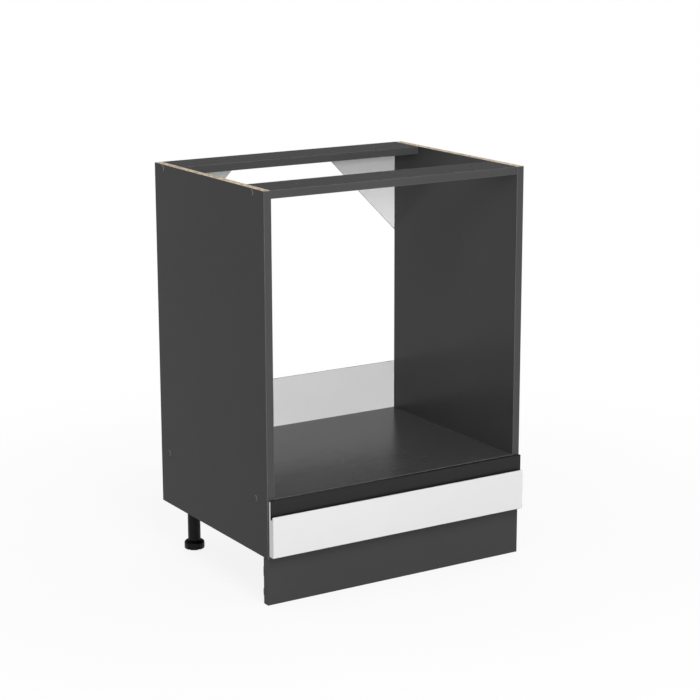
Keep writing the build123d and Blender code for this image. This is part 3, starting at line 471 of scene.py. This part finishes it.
def edging_material():
    """Plastic edging a little lighter than the boards, with a painted highlight along its corners."""
    material, tree, shader = new_material("anthracite_edging_strip")
    pearl = use(tree, GROUPS["pearl"], Grain_mm=0.5, Roughness=0.34)
    rub = use(tree, GROUPS["rub"], Width_mm=1.4, Amount=0.6)
    tone = use(tree, GROUPS["drift"], Colour=edging_grey, Broad=0.04, Fine=0.04)
    # The corners are painted paler all along: a painted highlight.
    corner_highlighted = blended(tree, rub.outputs["Corner"], tone.outputs["Colour"], edging_corner_highlight)
    # Rubbed patches are paler still, partly wear and partly painted highlight.
    colour = blended(tree, rub.outputs["Mask"], corner_highlighted, edging_rubbed_and_highlight)
    apply_finish(tree, shader, colour, pearl.outputs["Roughness"], pearl.outputs["Height"],
                 depth=0.008, eased_edge=0.8, specular=0.12)
    return material


def white_front_material():
    """White gloss foil over fibreboard, with the faint waviness of a pressed foil."""
    material, tree, shader = new_material("white_gloss_foil")
    place = object_place(tree)
    ripple = noise(tree, place, 0.09)
    smudge = noise(tree, place, 0.02, detail=4.0, roughness=0.6)
    rub = use(tree, GROUPS["rub"], Width_mm=0.6, Amount=0.3)
    tone = use(tree, GROUPS["drift"], Colour=front_white, Broad=0.012, Fine=0.006)
    colour = blended(tree, rub.outputs["Mask"], tone.outputs["Colour"], front_rubbed)
    apply_finish(tree, shader, colour, ranged(tree, smudge, 0.35, 0.7, 0.14, 0.22), ripple,
                 depth=0.02, eased_edge=0.5)
    return material


def moulded_material(name, colour, rubbed, roughness, grain, specular):
    """Moulded plastic or rubber, with its grain in millimetres."""
    material, tree, shader = new_material(name)
    mould = use(tree, GROUPS["mould"], Grain_mm=grain, Roughness=roughness)
    rub = use(tree, GROUPS["rub"], Width_mm=0.6, Amount=0.5)
    tone = use(tree, GROUPS["drift"], Colour=colour, Broad=0.06, Fine=0.05)
    handled = blended(tree, rub.outputs["Mask"], tone.outputs["Colour"], rubbed)
    apply_finish(tree, shader, handled, mould.outputs["Roughness"], mould.outputs["Height"],
                 depth=0.02, eased_edge=0.35, specular=specular)
    return material


def cap_material():
    """A moulded screw cap in the boards' grey, with a painted highlight on its rim."""
    material, tree, shader = new_material("cap_grey_plastic")
    mould = use(tree, GROUPS["mould"], Grain_mm=0.25, Roughness=0.30)
    tone = use(tree, GROUPS["drift"], Colour=cap_grey, Broad=0.03, Fine=0.03)
    # Faces that don't look sideways, the rim and its bevel, get a painted highlight.
    rim = maths(tree, "LESS_THAN", maths(tree, "ABSOLUTE", facing(tree, sideways)), 0.96)
    colour = blended(tree, rim, tone.outputs["Colour"], cap_rim_highlight)
    apply_finish(tree, shader, colour, mould.outputs["Roughness"], mould.outputs["Height"],
                 depth=0.01, eased_edge=0.2, specular=0.06)
    return material


def hardboard_material(name, painted_side):
    """Hardboard, white where it looks along painted_side and elsewhere raw brown, with a screen's print."""
    screen_pitch = 1.4
    material, tree, shader = new_material(name)
    place = object_place(tree)
    painted = maths(tree, "GREATER_THAN", facing(tree, painted_side), 0.5)
    tone = use(tree, GROUPS["drift"], Colour=hardboard_white, Broad=0.02, Fine=0.012)
    fibres = noise(tree, scaled(tree, place, (0.35, 1.0, 1.6)), 0.9, detail=5.0, roughness=0.65,
                   distortion=0.8)
    flecks = ranged(tree, noise(tree, place, 0.28, detail=5.0, roughness=0.7), 0.42, 0.7)
    brown = blended(tree, ranged(tree, fibres, 0.35, 0.7), hardboard_brown, hardboard_pale)
    brown = blended(tree, maths(tree, "MULTIPLY", flecks, 0.35), brown, hardboard_pale)
    axes = put(tree, "SeparateXYZ", {"Vector": place}).outputs
    turns = 2 * pi / screen_pitch
    weave = [maths(tree, "SINE", maths(tree, "MULTIPLY", axes[k], turns)) for k in "XZ"]
    screen = maths(tree, "MULTIPLY", maths(tree, "MULTIPLY", *weave), 0.5)
    stipple = maths(tree, "MULTIPLY", noise(tree, place, 0.8), 0.25)
    height = between(tree, painted, maths(tree, "ADD", fibres, screen), stipple)
    colour = blended(tree, painted, brown, tone.outputs["Colour"])
    apply_finish(tree, shader, colour, ranged(tree, painted, 0.0, 1.0, 0.8, 0.42), height,
                 depth=0.09, eased_edge=0.3, specular=0.35)
    return material


def zinc_material(name, colour, roughness, spangle):
    """Zinc plate or a zinc casting, with its spangle in millimetres."""
    material, tree, shader = new_material(name)
    skin = use(tree, GROUPS["zinc"], Colour=colour, Roughness=roughness, Spangle_mm=spangle)
    apply_finish(tree, shader, skin.outputs["Colour"], skin.outputs["Roughness"], skin.outputs["Height"],
                 depth=0.01, eased_edge=0.25)
    shader.inputs["Metallic"].default_value = 1.0
    return material


def beech_material():
    """Plain beech, with its grain along the dowel and short dark flecks."""
    material, tree, shader = new_material("beech_dowel")
    place = object_place(tree)
    grain = noise(tree, scaled(tree, place, (0.08, 1.0, 1.0)), 2.2, detail=4.0, roughness=0.6, distortion=0.4)
    flecks = ranged(tree, noise(tree, scaled(tree, place, (0.35, 2.0, 2.0)), 1.6), 0.60, 0.66)
    darker = maths(tree, "MAXIMUM", ranged(tree, grain, 0.4, 0.7), maths(tree, "MULTIPLY", flecks, 0.8))
    colour = blended(tree, darker, beech_pale, beech_dark)
    apply_finish(tree, shader, colour, ranged(tree, grain, 0.3, 0.7, 0.5, 0.7), grain,
                 depth=0.04, eased_edge=0.2)
    return material


def enamel_material():
    """White powder coat on the runners, with its orange peel and rubbed edges."""
    material, tree, shader = new_material("runner_powder_coat")
    peel = noise(tree, object_place(tree), 0.55)
    rub = use(tree, GROUPS["rub"], Width_mm=0.5, Amount=0.8)
    tone = use(tree, GROUPS["drift"], Colour=enamel_white, Broad=0.02, Fine=0.01)
    colour = blended(tree, rub.outputs["Mask"], tone.outputs["Colour"], zinc_cast)
    apply_finish(tree, shader, colour, ranged(tree, peel, 0.3, 0.7, 0.28, 0.36), peel,
                 depth=0.03, eased_edge=0.25)
    return material


LEFT = board_material("anthracite_left_board", sheen=0.05, broad=sideways)
RIGHT = board_material("anthracite_right_board", sheen=0.11, broad=sideways)
SHELF = board_material("anthracite_shelf_board", sheen=0.18, broad=upwards)
LEVEL = board_material("anthracite_level_board", sheen=0.02, broad=upwards)
WRAPPED = board_material("anthracite_wrapped_board")
EDGED = board_material("anthracite_plinth_board")
SLOT_FINISH = {
    "anthracite_board": LEVEL,
    "anthracite_edging": edging_material(),
    "white_hardboard": hardboard_material("white_hardboard_sheet", frontwards),
    "white_gloss_front": white_front_material(),
    "black_liner": moulded_material("black_liner_plastic", liner_black, liner_rubbed, 0.38, 0.3, 0.25),
    "zinc_steel": zinc_material("bright_zinc_plate", zinc_bright, 0.26, 2.5),
    "zinc_casting": zinc_material("cast_zinc", zinc_cast, 0.42, 0.8),
    "cap_plastic": cap_material(),
    "beech": beech_material(),
    "bumper_rubber": moulded_material("clear_pad_rubber", pad_clear, pad_clear, 0.25, 0.6, 0.5),
    "runner_enamel": enamel_material(),
    "roller_plastic": moulded_material("roller_white_plastic", roller_white, roller_white, 0.35, 0.3, 0.5),
    "leg_plastic": moulded_material("leg_black_plastic", leg_black, leg_rubbed, 0.42, 0.25, 0.15),
    "clip_plastic": moulded_material("clip_black_plastic", leg_black, leg_rubbed, 0.36, 0.25, 0.15),
}
NODE_FINISH = {
    "left_side": LEFT,
    "right_side": RIGHT,
    "drawer_left_side": WRAPPED,
    "drawer_right_side": WRAPPED,
    "drawer_back": WRAPPED,
    "drawer_bottom": hardboard_material("drawer_bottom_sheet", upwards),
    "oven_shelf": SHELF,
    "plinth_board": EDGED,
}


def dress(piece, material):
    """Gives a piece its one material."""
    piece.data.materials.clear()
    piece.data.materials.append(material)


for node, piece in NODES.items():
    dress(piece, NODE_FINISH.get(node, SLOT_FINISH[SLOT_OF[node]]))

# Fasteners and feet as meshes, with the threads and recesses that the solids leave plain
around = 24
steps_per_pitch = 8
smooth_below = radians(40)
same_point = 1e-6
sorting_digits = 4


def solid_points(node):
    """The points of each separate solid in a CAD node, one list for each, in a steady order."""
    mesh = bmesh.new()
    mesh.from_mesh(NODES[node].data)
    bmesh.ops.remove_doubles(mesh, verts=mesh.verts, dist=same_point)
    left = set(mesh.verts)
    found = []
    while left:
        group = [left.pop()]
        for vert in group:
            for edge in vert.link_edges:
                other = edge.other_vert(vert)
                if other in left:
                    left.remove(other)
                    group.append(other)
        found.append([vert.co.copy() for vert in group])
    mesh.free()
    return sorted(found, key=rounded_middle)


def points_middle(points):
    """The centre of the box round some points."""
    return [(min(p[k] for p in points) + max(p[k] for p in points)) / 2 for k in range(3)]


def rounded_middle(points):
    """The same centre rounded, to sort solids by."""
    return tuple(round(value, sorting_digits) for value in points_middle(points))


def inward(middle):
    """The way from one side of the cabinet towards its middle."""
    return -X_AXIS if middle[0] > 0 else X_AXIS


def outward(middle):
    """The way from the middle of the cabinet towards its nearer side."""
    return -inward(middle)


def forward(middle):
    """The way to the front, wherever the fastener is."""
    return -Y_AXIS


def upward(middle):
    """The way up, wherever the fastener is."""
    return Z_AXIS


def driven_places(node, heading):
    """A frame at the head of each fastener in a node, with its Z along the shank."""
    places = []
    for points in solid_points(node):
        middle = Vector(points_middle(points))
        along = heading(middle)
        reach = [point.dot(along) for point in points]
        start = middle + along * (min(reach) - middle.dot(along))
        side = Z_AXIS if abs(along.z) < 0.5 else X_AXIS
        frame_axes = Matrix((side, along.cross(side), along)).transposed().to_4x4()
        places.append(Matrix.Translation(start) @ frame_axes)
    return places


def even_angles(count):
    """Evenly spaced angles once round."""
    return [2 * pi * k / count for k in range(count)]


def ring(mesh, along, radius, angles=even_angles(around)):
    """A ring of points about Z. radius is a number or a function of the angle."""
    points = []
    for angle in angles:
        reach = radius(angle) if callable(radius) else radius
        points.append(mesh.verts.new((reach * cos(angle), reach * sin(angle), along)))
    return points


def turned(mesh, profile, angles=even_angles(around)):
    """The rings of a turned shape. Each point of its profile is a place along it and the radius there."""
    return [ring(mesh, along, radius, angles) for along, radius in profile]


def skin(mesh, rings):
    """Joins rings of equal count, in order."""
    for first, second in zip(rings, rings[1:]):
        for k in range(len(first)):
            following = (k + 1) % len(first)
            mesh.faces.new((first[k], first[following], second[following], second[k]))


def close(mesh, points, along):
    """Closes a ring with a fan to its centre."""
    centre = mesh.verts.new((0, 0, along))
    for k in range(len(points)):
        mesh.faces.new((points[(k + 1) % len(points)], points[k], centre))


def thread(mesh, start, end, core, crest, pitch, sharpness=1.0, angles=even_angles(around)):
    """Rings of a right-hand thread that fades in and out over one pitch."""
    steps = int((end - start) / pitch * steps_per_pitch) + 1
    rings = []
    for k in range(steps + 1):
        along = start + (end - start) * k / steps
        full = max(0.0, min(1.0, (along - start) / pitch, (end - along) / pitch))
        rings.append(ring(mesh, along, thread_radius(along / pitch, core, crest, full, sharpness), angles))
    return rings


def thread_radius(turns, core, crest, full, sharpness):
    """The radius of a thread at each angle, at one place along it."""
    def radius(angle):
        phase = (turns - angle / (2 * pi)) % 1.0
        ridge = max(0.0, 1.0 - sharpness * abs(2.0 * phase - 1.0))
        return core + (crest - core) * full * ridge
    return radius


def cross_outline(reach, width):
    """The outline of a cross recess."""
    half = width / 2
    corner = [(reach, -half), (reach, half), (half, half)]
    points = []
    for k in range(4):
        turn = Matrix.Rotation(k * pi / 2, 2)
        points += [turn @ Vector(point) for point in corner]
    return points


def hexagon_outline(reach):
    """The outline of a hexagon socket."""
    return [Vector((reach * cos(k * pi / 3), reach * sin(k * pi / 3))) for k in range(6)]


def recessed_top(mesh, rim, outline, depth, taper):
    """Fills a head's rim ring, which lies at 0, with a face that a driver recess is cut into."""
    mouth = [mesh.verts.new((point[0], point[1], 0)) for point in outline]
    foot_of_recess = [mesh.verts.new((point[0] * taper, point[1] * taper, depth)) for point in outline]
    edges = []
    for loop in (rim, mouth):
        for k in range(len(loop)):
            pair = (loop[k], loop[(k + 1) % len(loop)])
            edges.append(mesh.edges.get(pair) or mesh.edges.new(pair))
    bmesh.ops.triangle_fill(mesh, edges=edges, use_beauty=True, normal=(0, 0, -1))
    for k in range(len(mouth)):
        following = (k + 1) % len(mouth)
        mesh.faces.new((mouth[following], mouth[k], foot_of_recess[k], foot_of_recess[following]))
    mesh.faces.new(foot_of_recess)


def placed_copies(name, node, source, places):
    """One piece made of a mesh repeated at each place, which stands for a CAD node."""
    bmesh.ops.recalc_face_normals(source, faces=source.faces)
    single = bpy.data.meshes.new(name + "_single")
    source.to_mesh(single)
    source.free()
    whole = bmesh.new()
    for place in places:
        first = len(whole.verts)
        whole.from_mesh(single)
        whole.verts.ensure_lookup_table()
        bmesh.ops.transform(whole, matrix=place, verts=whole.verts[first:])
    mesh = bpy.data.meshes.new(name)
    whole.to_mesh(mesh)
    whole.free()
    bpy.data.meshes.remove(single)
    as_piece(name, node, mesh)


def as_piece(name, node, mesh):
    """A mesh as a piece that rides its CAD node's body and takes its finish."""
    mesh.shade_smooth()
    mesh.set_sharp_from_angle(angle=smooth_below)
    piece = bpy.data.objects.new(name, mesh)
    bpy.context.scene.collection.objects.link(piece)
    dress(piece, SLOT_FINISH[SLOT_OF[node]])
    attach(piece, BODY_OF[node])
    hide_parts(node)


def drive(name, node, mesh, heading):
    """Puts a fastener's mesh in each place that a CAD node has one, driven the way of its heading."""
    placed_copies(name, node, mesh, driven_places(node, heading))


# Shapes that the cross-headed screws share, as shares of the thread's or the head's radius
core_share = 0.68
neck_share = 0.9
point_radii = 1.6
tip_share = 0.55
cross_width_share = 0.2
cross_taper = 0.45
run_out = 0.3
screw_sharpness = 1.6


def countersunk_screw(head_radius, head_depth, radius, length, pitch, plain=0.0):
    """A countersunk screw with a cross recess, a plain neck if one is asked for, and a drawn-out point."""
    mesh = bmesh.new()
    lip = 0.06 * head_radius
    core = core_share * radius
    neck = neck_share * radius
    rim = ring(mesh, 0, head_radius - lip / 2)
    rings = [rim] + turned(mesh, [(lip / 2, head_radius), (lip, head_radius), (head_depth, neck)])
    if plain:
        rings.append(ring(mesh, head_depth + plain, neck))
    start = head_depth + plain + run_out * pitch
    point = length - point_radii * radius
    rings += thread(mesh, start, point, core, radius, pitch, screw_sharpness)
    rings.append(ring(mesh, (point + length) / 2, tip_share * core))
    skin(mesh, rings)
    close(mesh, rings[-1], length)
    cross = cross_outline(0.55 * head_radius, cross_width_share * head_radius)
    recessed_top(mesh, rim, cross, 0.75 * head_depth, cross_taper)
    return mesh


def pan_head_screw(head_radius, head_depth, radius, length, pitch):
    """A pan-head screw with a cross recess. Its length is the shank's."""
    mesh = bmesh.new()
    core = core_share * radius
    end = head_depth + length
    rim = ring(mesh, 0, 0.72 * head_radius)
    rings = [rim] + turned(mesh, [(0.12 * head_depth, 0.88 * head_radius), (0.38 * head_depth, head_radius),
                                  (head_depth, head_radius), (head_depth, neck_share * radius)])
    point = end - point_radii * radius
    rings += thread(mesh, head_depth + run_out * pitch, point, core, radius, pitch, screw_sharpness)
    rings.append(ring(mesh, (point + end) / 2, tip_share * core))
    skin(mesh, rings)
    close(mesh, rings[-1], end)
    cross = cross_outline(0.5 * head_radius, cross_width_share * head_radius)
    recessed_top(mesh, rim, cross, 0.8 * head_depth, cross_taper)
    return mesh


def confirmat():
    """A one-piece connector: countersunk head with a hexagon socket, plain neck and coarse thread."""
    length = 0.050
    head_radius = 0.0050
    neck_radius = 0.0035
    neck_end = 0.0157
    socket_reach = 0.0024
    socket_depth = 0.0024
    socket_taper = 0.92
    mesh = bmesh.new()
    head = turned(mesh, [(0, 0.0048), (0.0003, head_radius), (0.0006, head_radius), (0.0025, neck_radius)])
    neck = turned(mesh, [(neck_end, neck_radius), (0.0160, 0.0025)])
    coarse = thread(mesh, 0.0165, 0.0478, core=0.0022, crest=0.0034, pitch=0.003, sharpness=1.7)
    rings = head + neck + coarse + turned(mesh, [(0.0488, 0.0018)])
    skin(mesh, rings)
    close(mesh, rings[-1], length)
    recessed_top(mesh, head[0], hexagon_outline(socket_reach), socket_depth, socket_taper)
    return mesh


def hardboard_pin():
    """A short nail with a flat head, slightly domed, a gripped neck and a point."""
    length = 0.018
    shank = 0.0008
    groove = 0.0007
    first_grip = 0.0011
    grip_pitch = 0.0006
    grips = 5
    mesh = bmesh.new()
    rings = turned(mesh, [(0, 0.0009), (0.00012, 0.00138), (0.00035, 0.0016), (0.0006, 0.0015),
                          (0.0006, shank)])
    for k in range(grips):
        grip = first_grip + grip_pitch * k
        rings += turned(mesh, [(grip, shank), (grip + grip_pitch / 3, groove)])
    rings += turned(mesh, [(0.0046, shank), (0.0162, shank)])
    skin(mesh, rings)
    close(mesh, rings[-1], length)
    close(mesh, rings[0], 0)
    return mesh


def cam_bolt(length, crest, thread_length):
    """A bolt for a cam: the head that the cam draws in, a thin shank, a collar and a coarse thread."""
    head_radius = 0.0034
    shank = 0.0025
    collar = 0.0008
    mesh = bmesh.new()
    start = length - thread_length
    rings = turned(mesh, [(0, 0.0022), (0.0004, 0.0030), (0.0010, head_radius), (0.0032, head_radius),
                          (0.0040, shank), (start - 0.0010, shank), (start - collar, crest), (start, crest)])
    rings += thread(mesh, start + 0.0004, length - 0.0010, 0.66 * crest, crest, 0.0026, screw_sharpness)
    rings.append(ring(mesh, length, 0.5 * crest))
    skin(mesh, rings)
    close(mesh, rings[-1], length)
    recessed_top(mesh, rings[0], cross_outline(0.0017, 0.0006), 0.0014, 0.5)
    return mesh


def fluted_dowel(length, radius):
    """A beech dowel with glue flutes and chamfered ends."""
    flutes = 12
    flute_depth = 0.00028
    chamfer = 0.0011
    end_radius = 0.72 * radius
    angles = even_angles(4 * flutes)

    def fluted(angle):
        return radius - flute_depth * max(0.0, cos(flutes * angle))

    mesh = bmesh.new()
    rings = turned(mesh, [(0, end_radius), (chamfer, fluted), (length / 2, fluted),
                          (length - chamfer, fluted), (length, end_radius)], angles)
    skin(mesh, rings)
    close(mesh, rings[-1], length)
    mesh.faces.new(list(reversed(rings[0])))
    return mesh


# Foot: a rim with a hollow sole and notches all round, a domed shoulder and a spindle
foot_notches = 6
notch_turn = radians(30)
notch_half = radians(4.3)
notch_corner = radians(4.8)
notch_clear = radians(5.4)
notch_depth = 0.0045
notch_top = 0.0065
corner_cut = 0.0003
between_notches = 7
angle_spare = 1e-4
hollow_depth = 0.0010
rim_bevel = 0.0012
rim_top = 0.012
foot_top = 0.0175
shoulder_radius = 0.0138
shoulder_steps = 7
spindle_radius = 0.005
spindle_sides = 32


def foot_angles():
    """Angles round a foot, closer together at its notches."""
    sector = 2 * pi / foot_notches
    corners = (notch_half, notch_corner, notch_clear)
    close_by = [-angle for angle in reversed(corners)] + [0.0] + list(corners)
    open_arc = sector - 2 * notch_clear
    between = [notch_clear + open_arc * k / between_notches for k in range(1, between_notches)]
    return [notch_turn + sector * n + offset for n in range(foot_notches) for offset in close_by + between]


def notched(radius, depth):
    """The radius of a foot at each angle, cut back by depth in its notches."""
    def reach(angle):
        sector = 2 * pi / foot_notches
        away = abs((angle - notch_turn + sector / 2) % sector - sector / 2)
        if away < notch_half + angle_spare:
            return radius - depth
        if away < notch_corner + angle_spare:
            return radius - corner_cut
        return radius
    return reach


def screw_foot(node):
    """A foot's mesh, and the place under its CAD node where it stands."""
    low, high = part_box(node)
    radius = (high.x - low.x) / 2
    length = high.z - low.z
    angles = foot_angles()
    full = notched(radius, notch_depth)
    eased = notched(radius - 0.0005, notch_depth - 0.0005)
    sole = notched(radius - rim_bevel, notch_depth - rim_bevel)
    mesh = bmesh.new()
    rings = turned(mesh, [(hollow_depth, 0.0136), (0.0006, 0.0140), (0, 0.0142), (0, sole), (0.0004, eased),
                          (rim_bevel, full), (notch_top - 0.0002, full), (notch_top, radius),
                          (rim_top, radius)], angles)
    for k in range(1, shoulder_steps + 1):
        bend = pi / 2 * k / shoulder_steps
        rings.append(ring(mesh, rim_top + (foot_top - rim_top) * sin(bend),
                          shoulder_radius + (radius - shoulder_radius) * cos(bend), angles))
    rings.append(ring(mesh, foot_top, spindle_radius, angles))
    skin(mesh, rings)
    close(mesh, rings[-1], foot_top)
    close(mesh, rings[0], hollow_depth)
    smooth = even_angles(spindle_sides)
    spindle = [ring(mesh, foot_top + 0.0001, 0.0043, smooth)]
    spindle += thread(mesh, foot_top + 0.0008, length - 0.0012, core=0.0041, crest=spindle_radius,
                      pitch=0.003, sharpness=1.15, angles=smooth)
    spindle.append(ring(mesh, length, 0.0034, smooth))
    skin(mesh, spindle)
    close(mesh, spindle[-1], length)
    mesh.faces.new(list(reversed(spindle[0])))
    place = Matrix.Translation(((low.x + high.x) / 2, (low.y + high.y) / 2, low.z))
    return mesh, place


for corner in ("front_left", "front_right", "rear_left", "rear_right"):
    foot_mesh, foot_place = screw_foot("foot_" + corner)
    placed_copies("threaded_foot_" + corner, "foot_" + corner, foot_mesh, [foot_place])

drive("socket_pan_screws", "leg_socket_screws",
      pan_head_screw(head_radius=0.0036, head_depth=0.002, radius=0.002, length=0.012, pitch=0.0014), upward)
drive("clip_screws", "plinth_clip_screws",
      countersunk_screw(head_radius=0.0034, head_depth=0.0016, radius=0.0018, length=0.014, pitch=0.0013),
      forward)
drive("drawer_back_screws", "drawer_screws",
      countersunk_screw(head_radius=0.004, head_depth=0.0022, radius=0.002, length=0.040, pitch=0.0018,
                        plain=0.012), inward)
for name, node, heading in (("cabinet_member_screws", "cabinet_runner_screws", outward),
                            ("drawer_member_screws", "drawer_runner_screws", inward)):
    drive(name, node, countersunk_screw(head_radius=0.0032, head_depth=0.0012, radius=0.0018, length=0.010,
                                        pitch=0.0013), heading)
drive("confirmats", "confirmat_screws", confirmat(), inward)
drive("back_pins", "hardboard_pins", hardboard_pin(), forward)
drive("bottom_cam_bolts", "cam_bolts", cam_bolt(length=0.047, crest=0.0035, thread_length=0.011), outward)
drive("front_cam_bolts", "drawer_cam_bolts", cam_bolt(length=0.037, crest=0.0030, thread_length=0.011),
      forward)
drive("fluted_dowels", "dowels", fluted_dowel(length=0.030, radius=0.004), inward)


# Floor, room and lamps
floor_radius = 30.0
floor_sides = 96
paler_cloud = 1.01


def grey(tone):
    """A grey as a colour."""
    return tone, tone, tone, 1.0


def seen_rays(tree):
    """1 for the rays that show the surroundings: the camera's, and those in gloss and glass."""
    rays = put(tree, "LightPath").outputs
    mirrored = maths(tree, "MAXIMUM", rays["Is Glossy Ray"], rays["Is Transmission Ray"])
    return maths(tree, "MAXIMUM", rays["Is Camera Ray"], mirrored)


def floor_material():
    """A floor that shows white but for a share of the shadow near the cabinet, and is clear from below."""
    material, tree, shader = new_material("pale_floor")
    place = put(tree, "TexCoord").outputs["Object"]
    clouds = ranged(tree, noise(tree, place, 1.5, detail=3.0), 0.3, 0.7)
    pale = blended(tree, clouds, grey(floor_tone), grey(floor_tone * paler_cloud))
    seen = seen_rays(tree)
    feed(tree, shader.inputs["Base Color"], blended(tree, seen, grey(floor_bounce_tone), pale))
    shader.inputs["Roughness"].default_value = 0.9
    shader.inputs["Specular IOR Level"].default_value = 0.0
    white = put(tree, "Emission", {"Color": grey(1.0), "Strength": 1.0})
    away = put(tree, "VectorMath", {0: place}, operation="LENGTH").outputs["Value"]
    kept = ranged(tree, away, shadow_from, shadow_to, near_shadow_share, 0.0, smooth=True)
    share = maths(tree, "MULTIPLY", seen, maths(tree, "SUBTRACT", 1.0, kept))
    lit = put(tree, "MixShader", {0: share, 1: shader.outputs[0], 2: white.outputs[0]})
    clear = put(tree, "BsdfTransparent")
    behind = put(tree, "NewGeometry").outputs["Backfacing"]
    final = put(tree, "MixShader", {0: behind, 1: lit.outputs[0], 2: clear.outputs[0]})
    feed(tree, tree.nodes["Material Output"].inputs["Surface"], final.outputs[0])
    return material


def make_floor():
    """A round floor under the feet."""
    mesh = bpy.data.meshes.new("pale_floor")
    rim = [(floor_radius * cos(angle), floor_radius * sin(angle), 0.0) for angle in even_angles(floor_sides)]
    mesh.from_pydata(rim, [], [list(range(floor_sides))])
    floor = bpy.data.objects.new("pale_floor", mesh)
    bpy.context.scene.collection.objects.link(floor)
    dress(floor, floor_material())


def make_room():
    """A room that shows white up to the horizon and soft grey above.

    Matt faces get its own light instead, which is stronger from the right and from the back.
    """
    world = bpy.data.worlds.new("studio_room")
    bpy.context.scene.world = world
    world.use_nodes = True
    tree = world.node_tree
    way = put(tree, "SeparateXYZ", {"Vector": put(tree, "TexCoord").outputs["Generated"]})
    height = way.outputs["Z"]
    shown = ranged(tree, height, horizon_white_to, upper_grey_from, 1.0, upper_grey, smooth=True)
    lighting = ranged(tree, height, 0.0, 1.0, low_room_light, high_room_light)
    for axis, light in (("X", right_room_light), ("Y", back_room_light)):
        towards = maths(tree, "MAXIMUM", way.outputs[axis], 0.0)
        lighting = maths(tree, "ADD", lighting, maths(tree, "MULTIPLY", towards, light))
    background = tree.nodes["Background"].inputs
    feed(tree, background["Color"], grey(1.0))
    feed(tree, background["Strength"], between(tree, seen_rays(tree), lighting, shown))


def softbox(name, place, size, power):
    """A square area lamp aimed at the cabinet."""
    light = bpy.data.lights.new(name, "AREA")
    light.size = size
    light.energy = power
    lamp = bpy.data.objects.new(name, light)
    lamp.location = place
    aim = Vector(lamp_target) - Vector(place)
    lamp.rotation_euler = aim.to_track_quat("-Z", "Y").to_euler()
    lamp.visible_camera = False
    bpy.context.scene.collection.objects.link(lamp)


def make_camera():
    """The camera, at the photograph's viewing angle."""
    camera = bpy.data.cameras.new("camera")
    camera.lens = camera_lens
    camera.sensor_width = sensor_width
    holder = bpy.data.objects.new("camera", camera)
    turn = Matrix.Rotation(camera_turn, 4, "Z")
    tip = Matrix.Rotation(pi / 2 - camera_tip, 4, "X")
    roll = Matrix.Rotation(camera_roll, 4, "Z")
    holder.matrix_world = Matrix.Translation(camera_place) @ turn @ tip @ roll
    bpy.context.scene.collection.objects.link(holder)
    bpy.context.scene.camera = holder


make_floor()
make_room()
for name, box in SOFTBOXES.items():
    softbox(name, **box)
make_camera()
bpy.context.scene.view_settings.view_transform = "Standard"
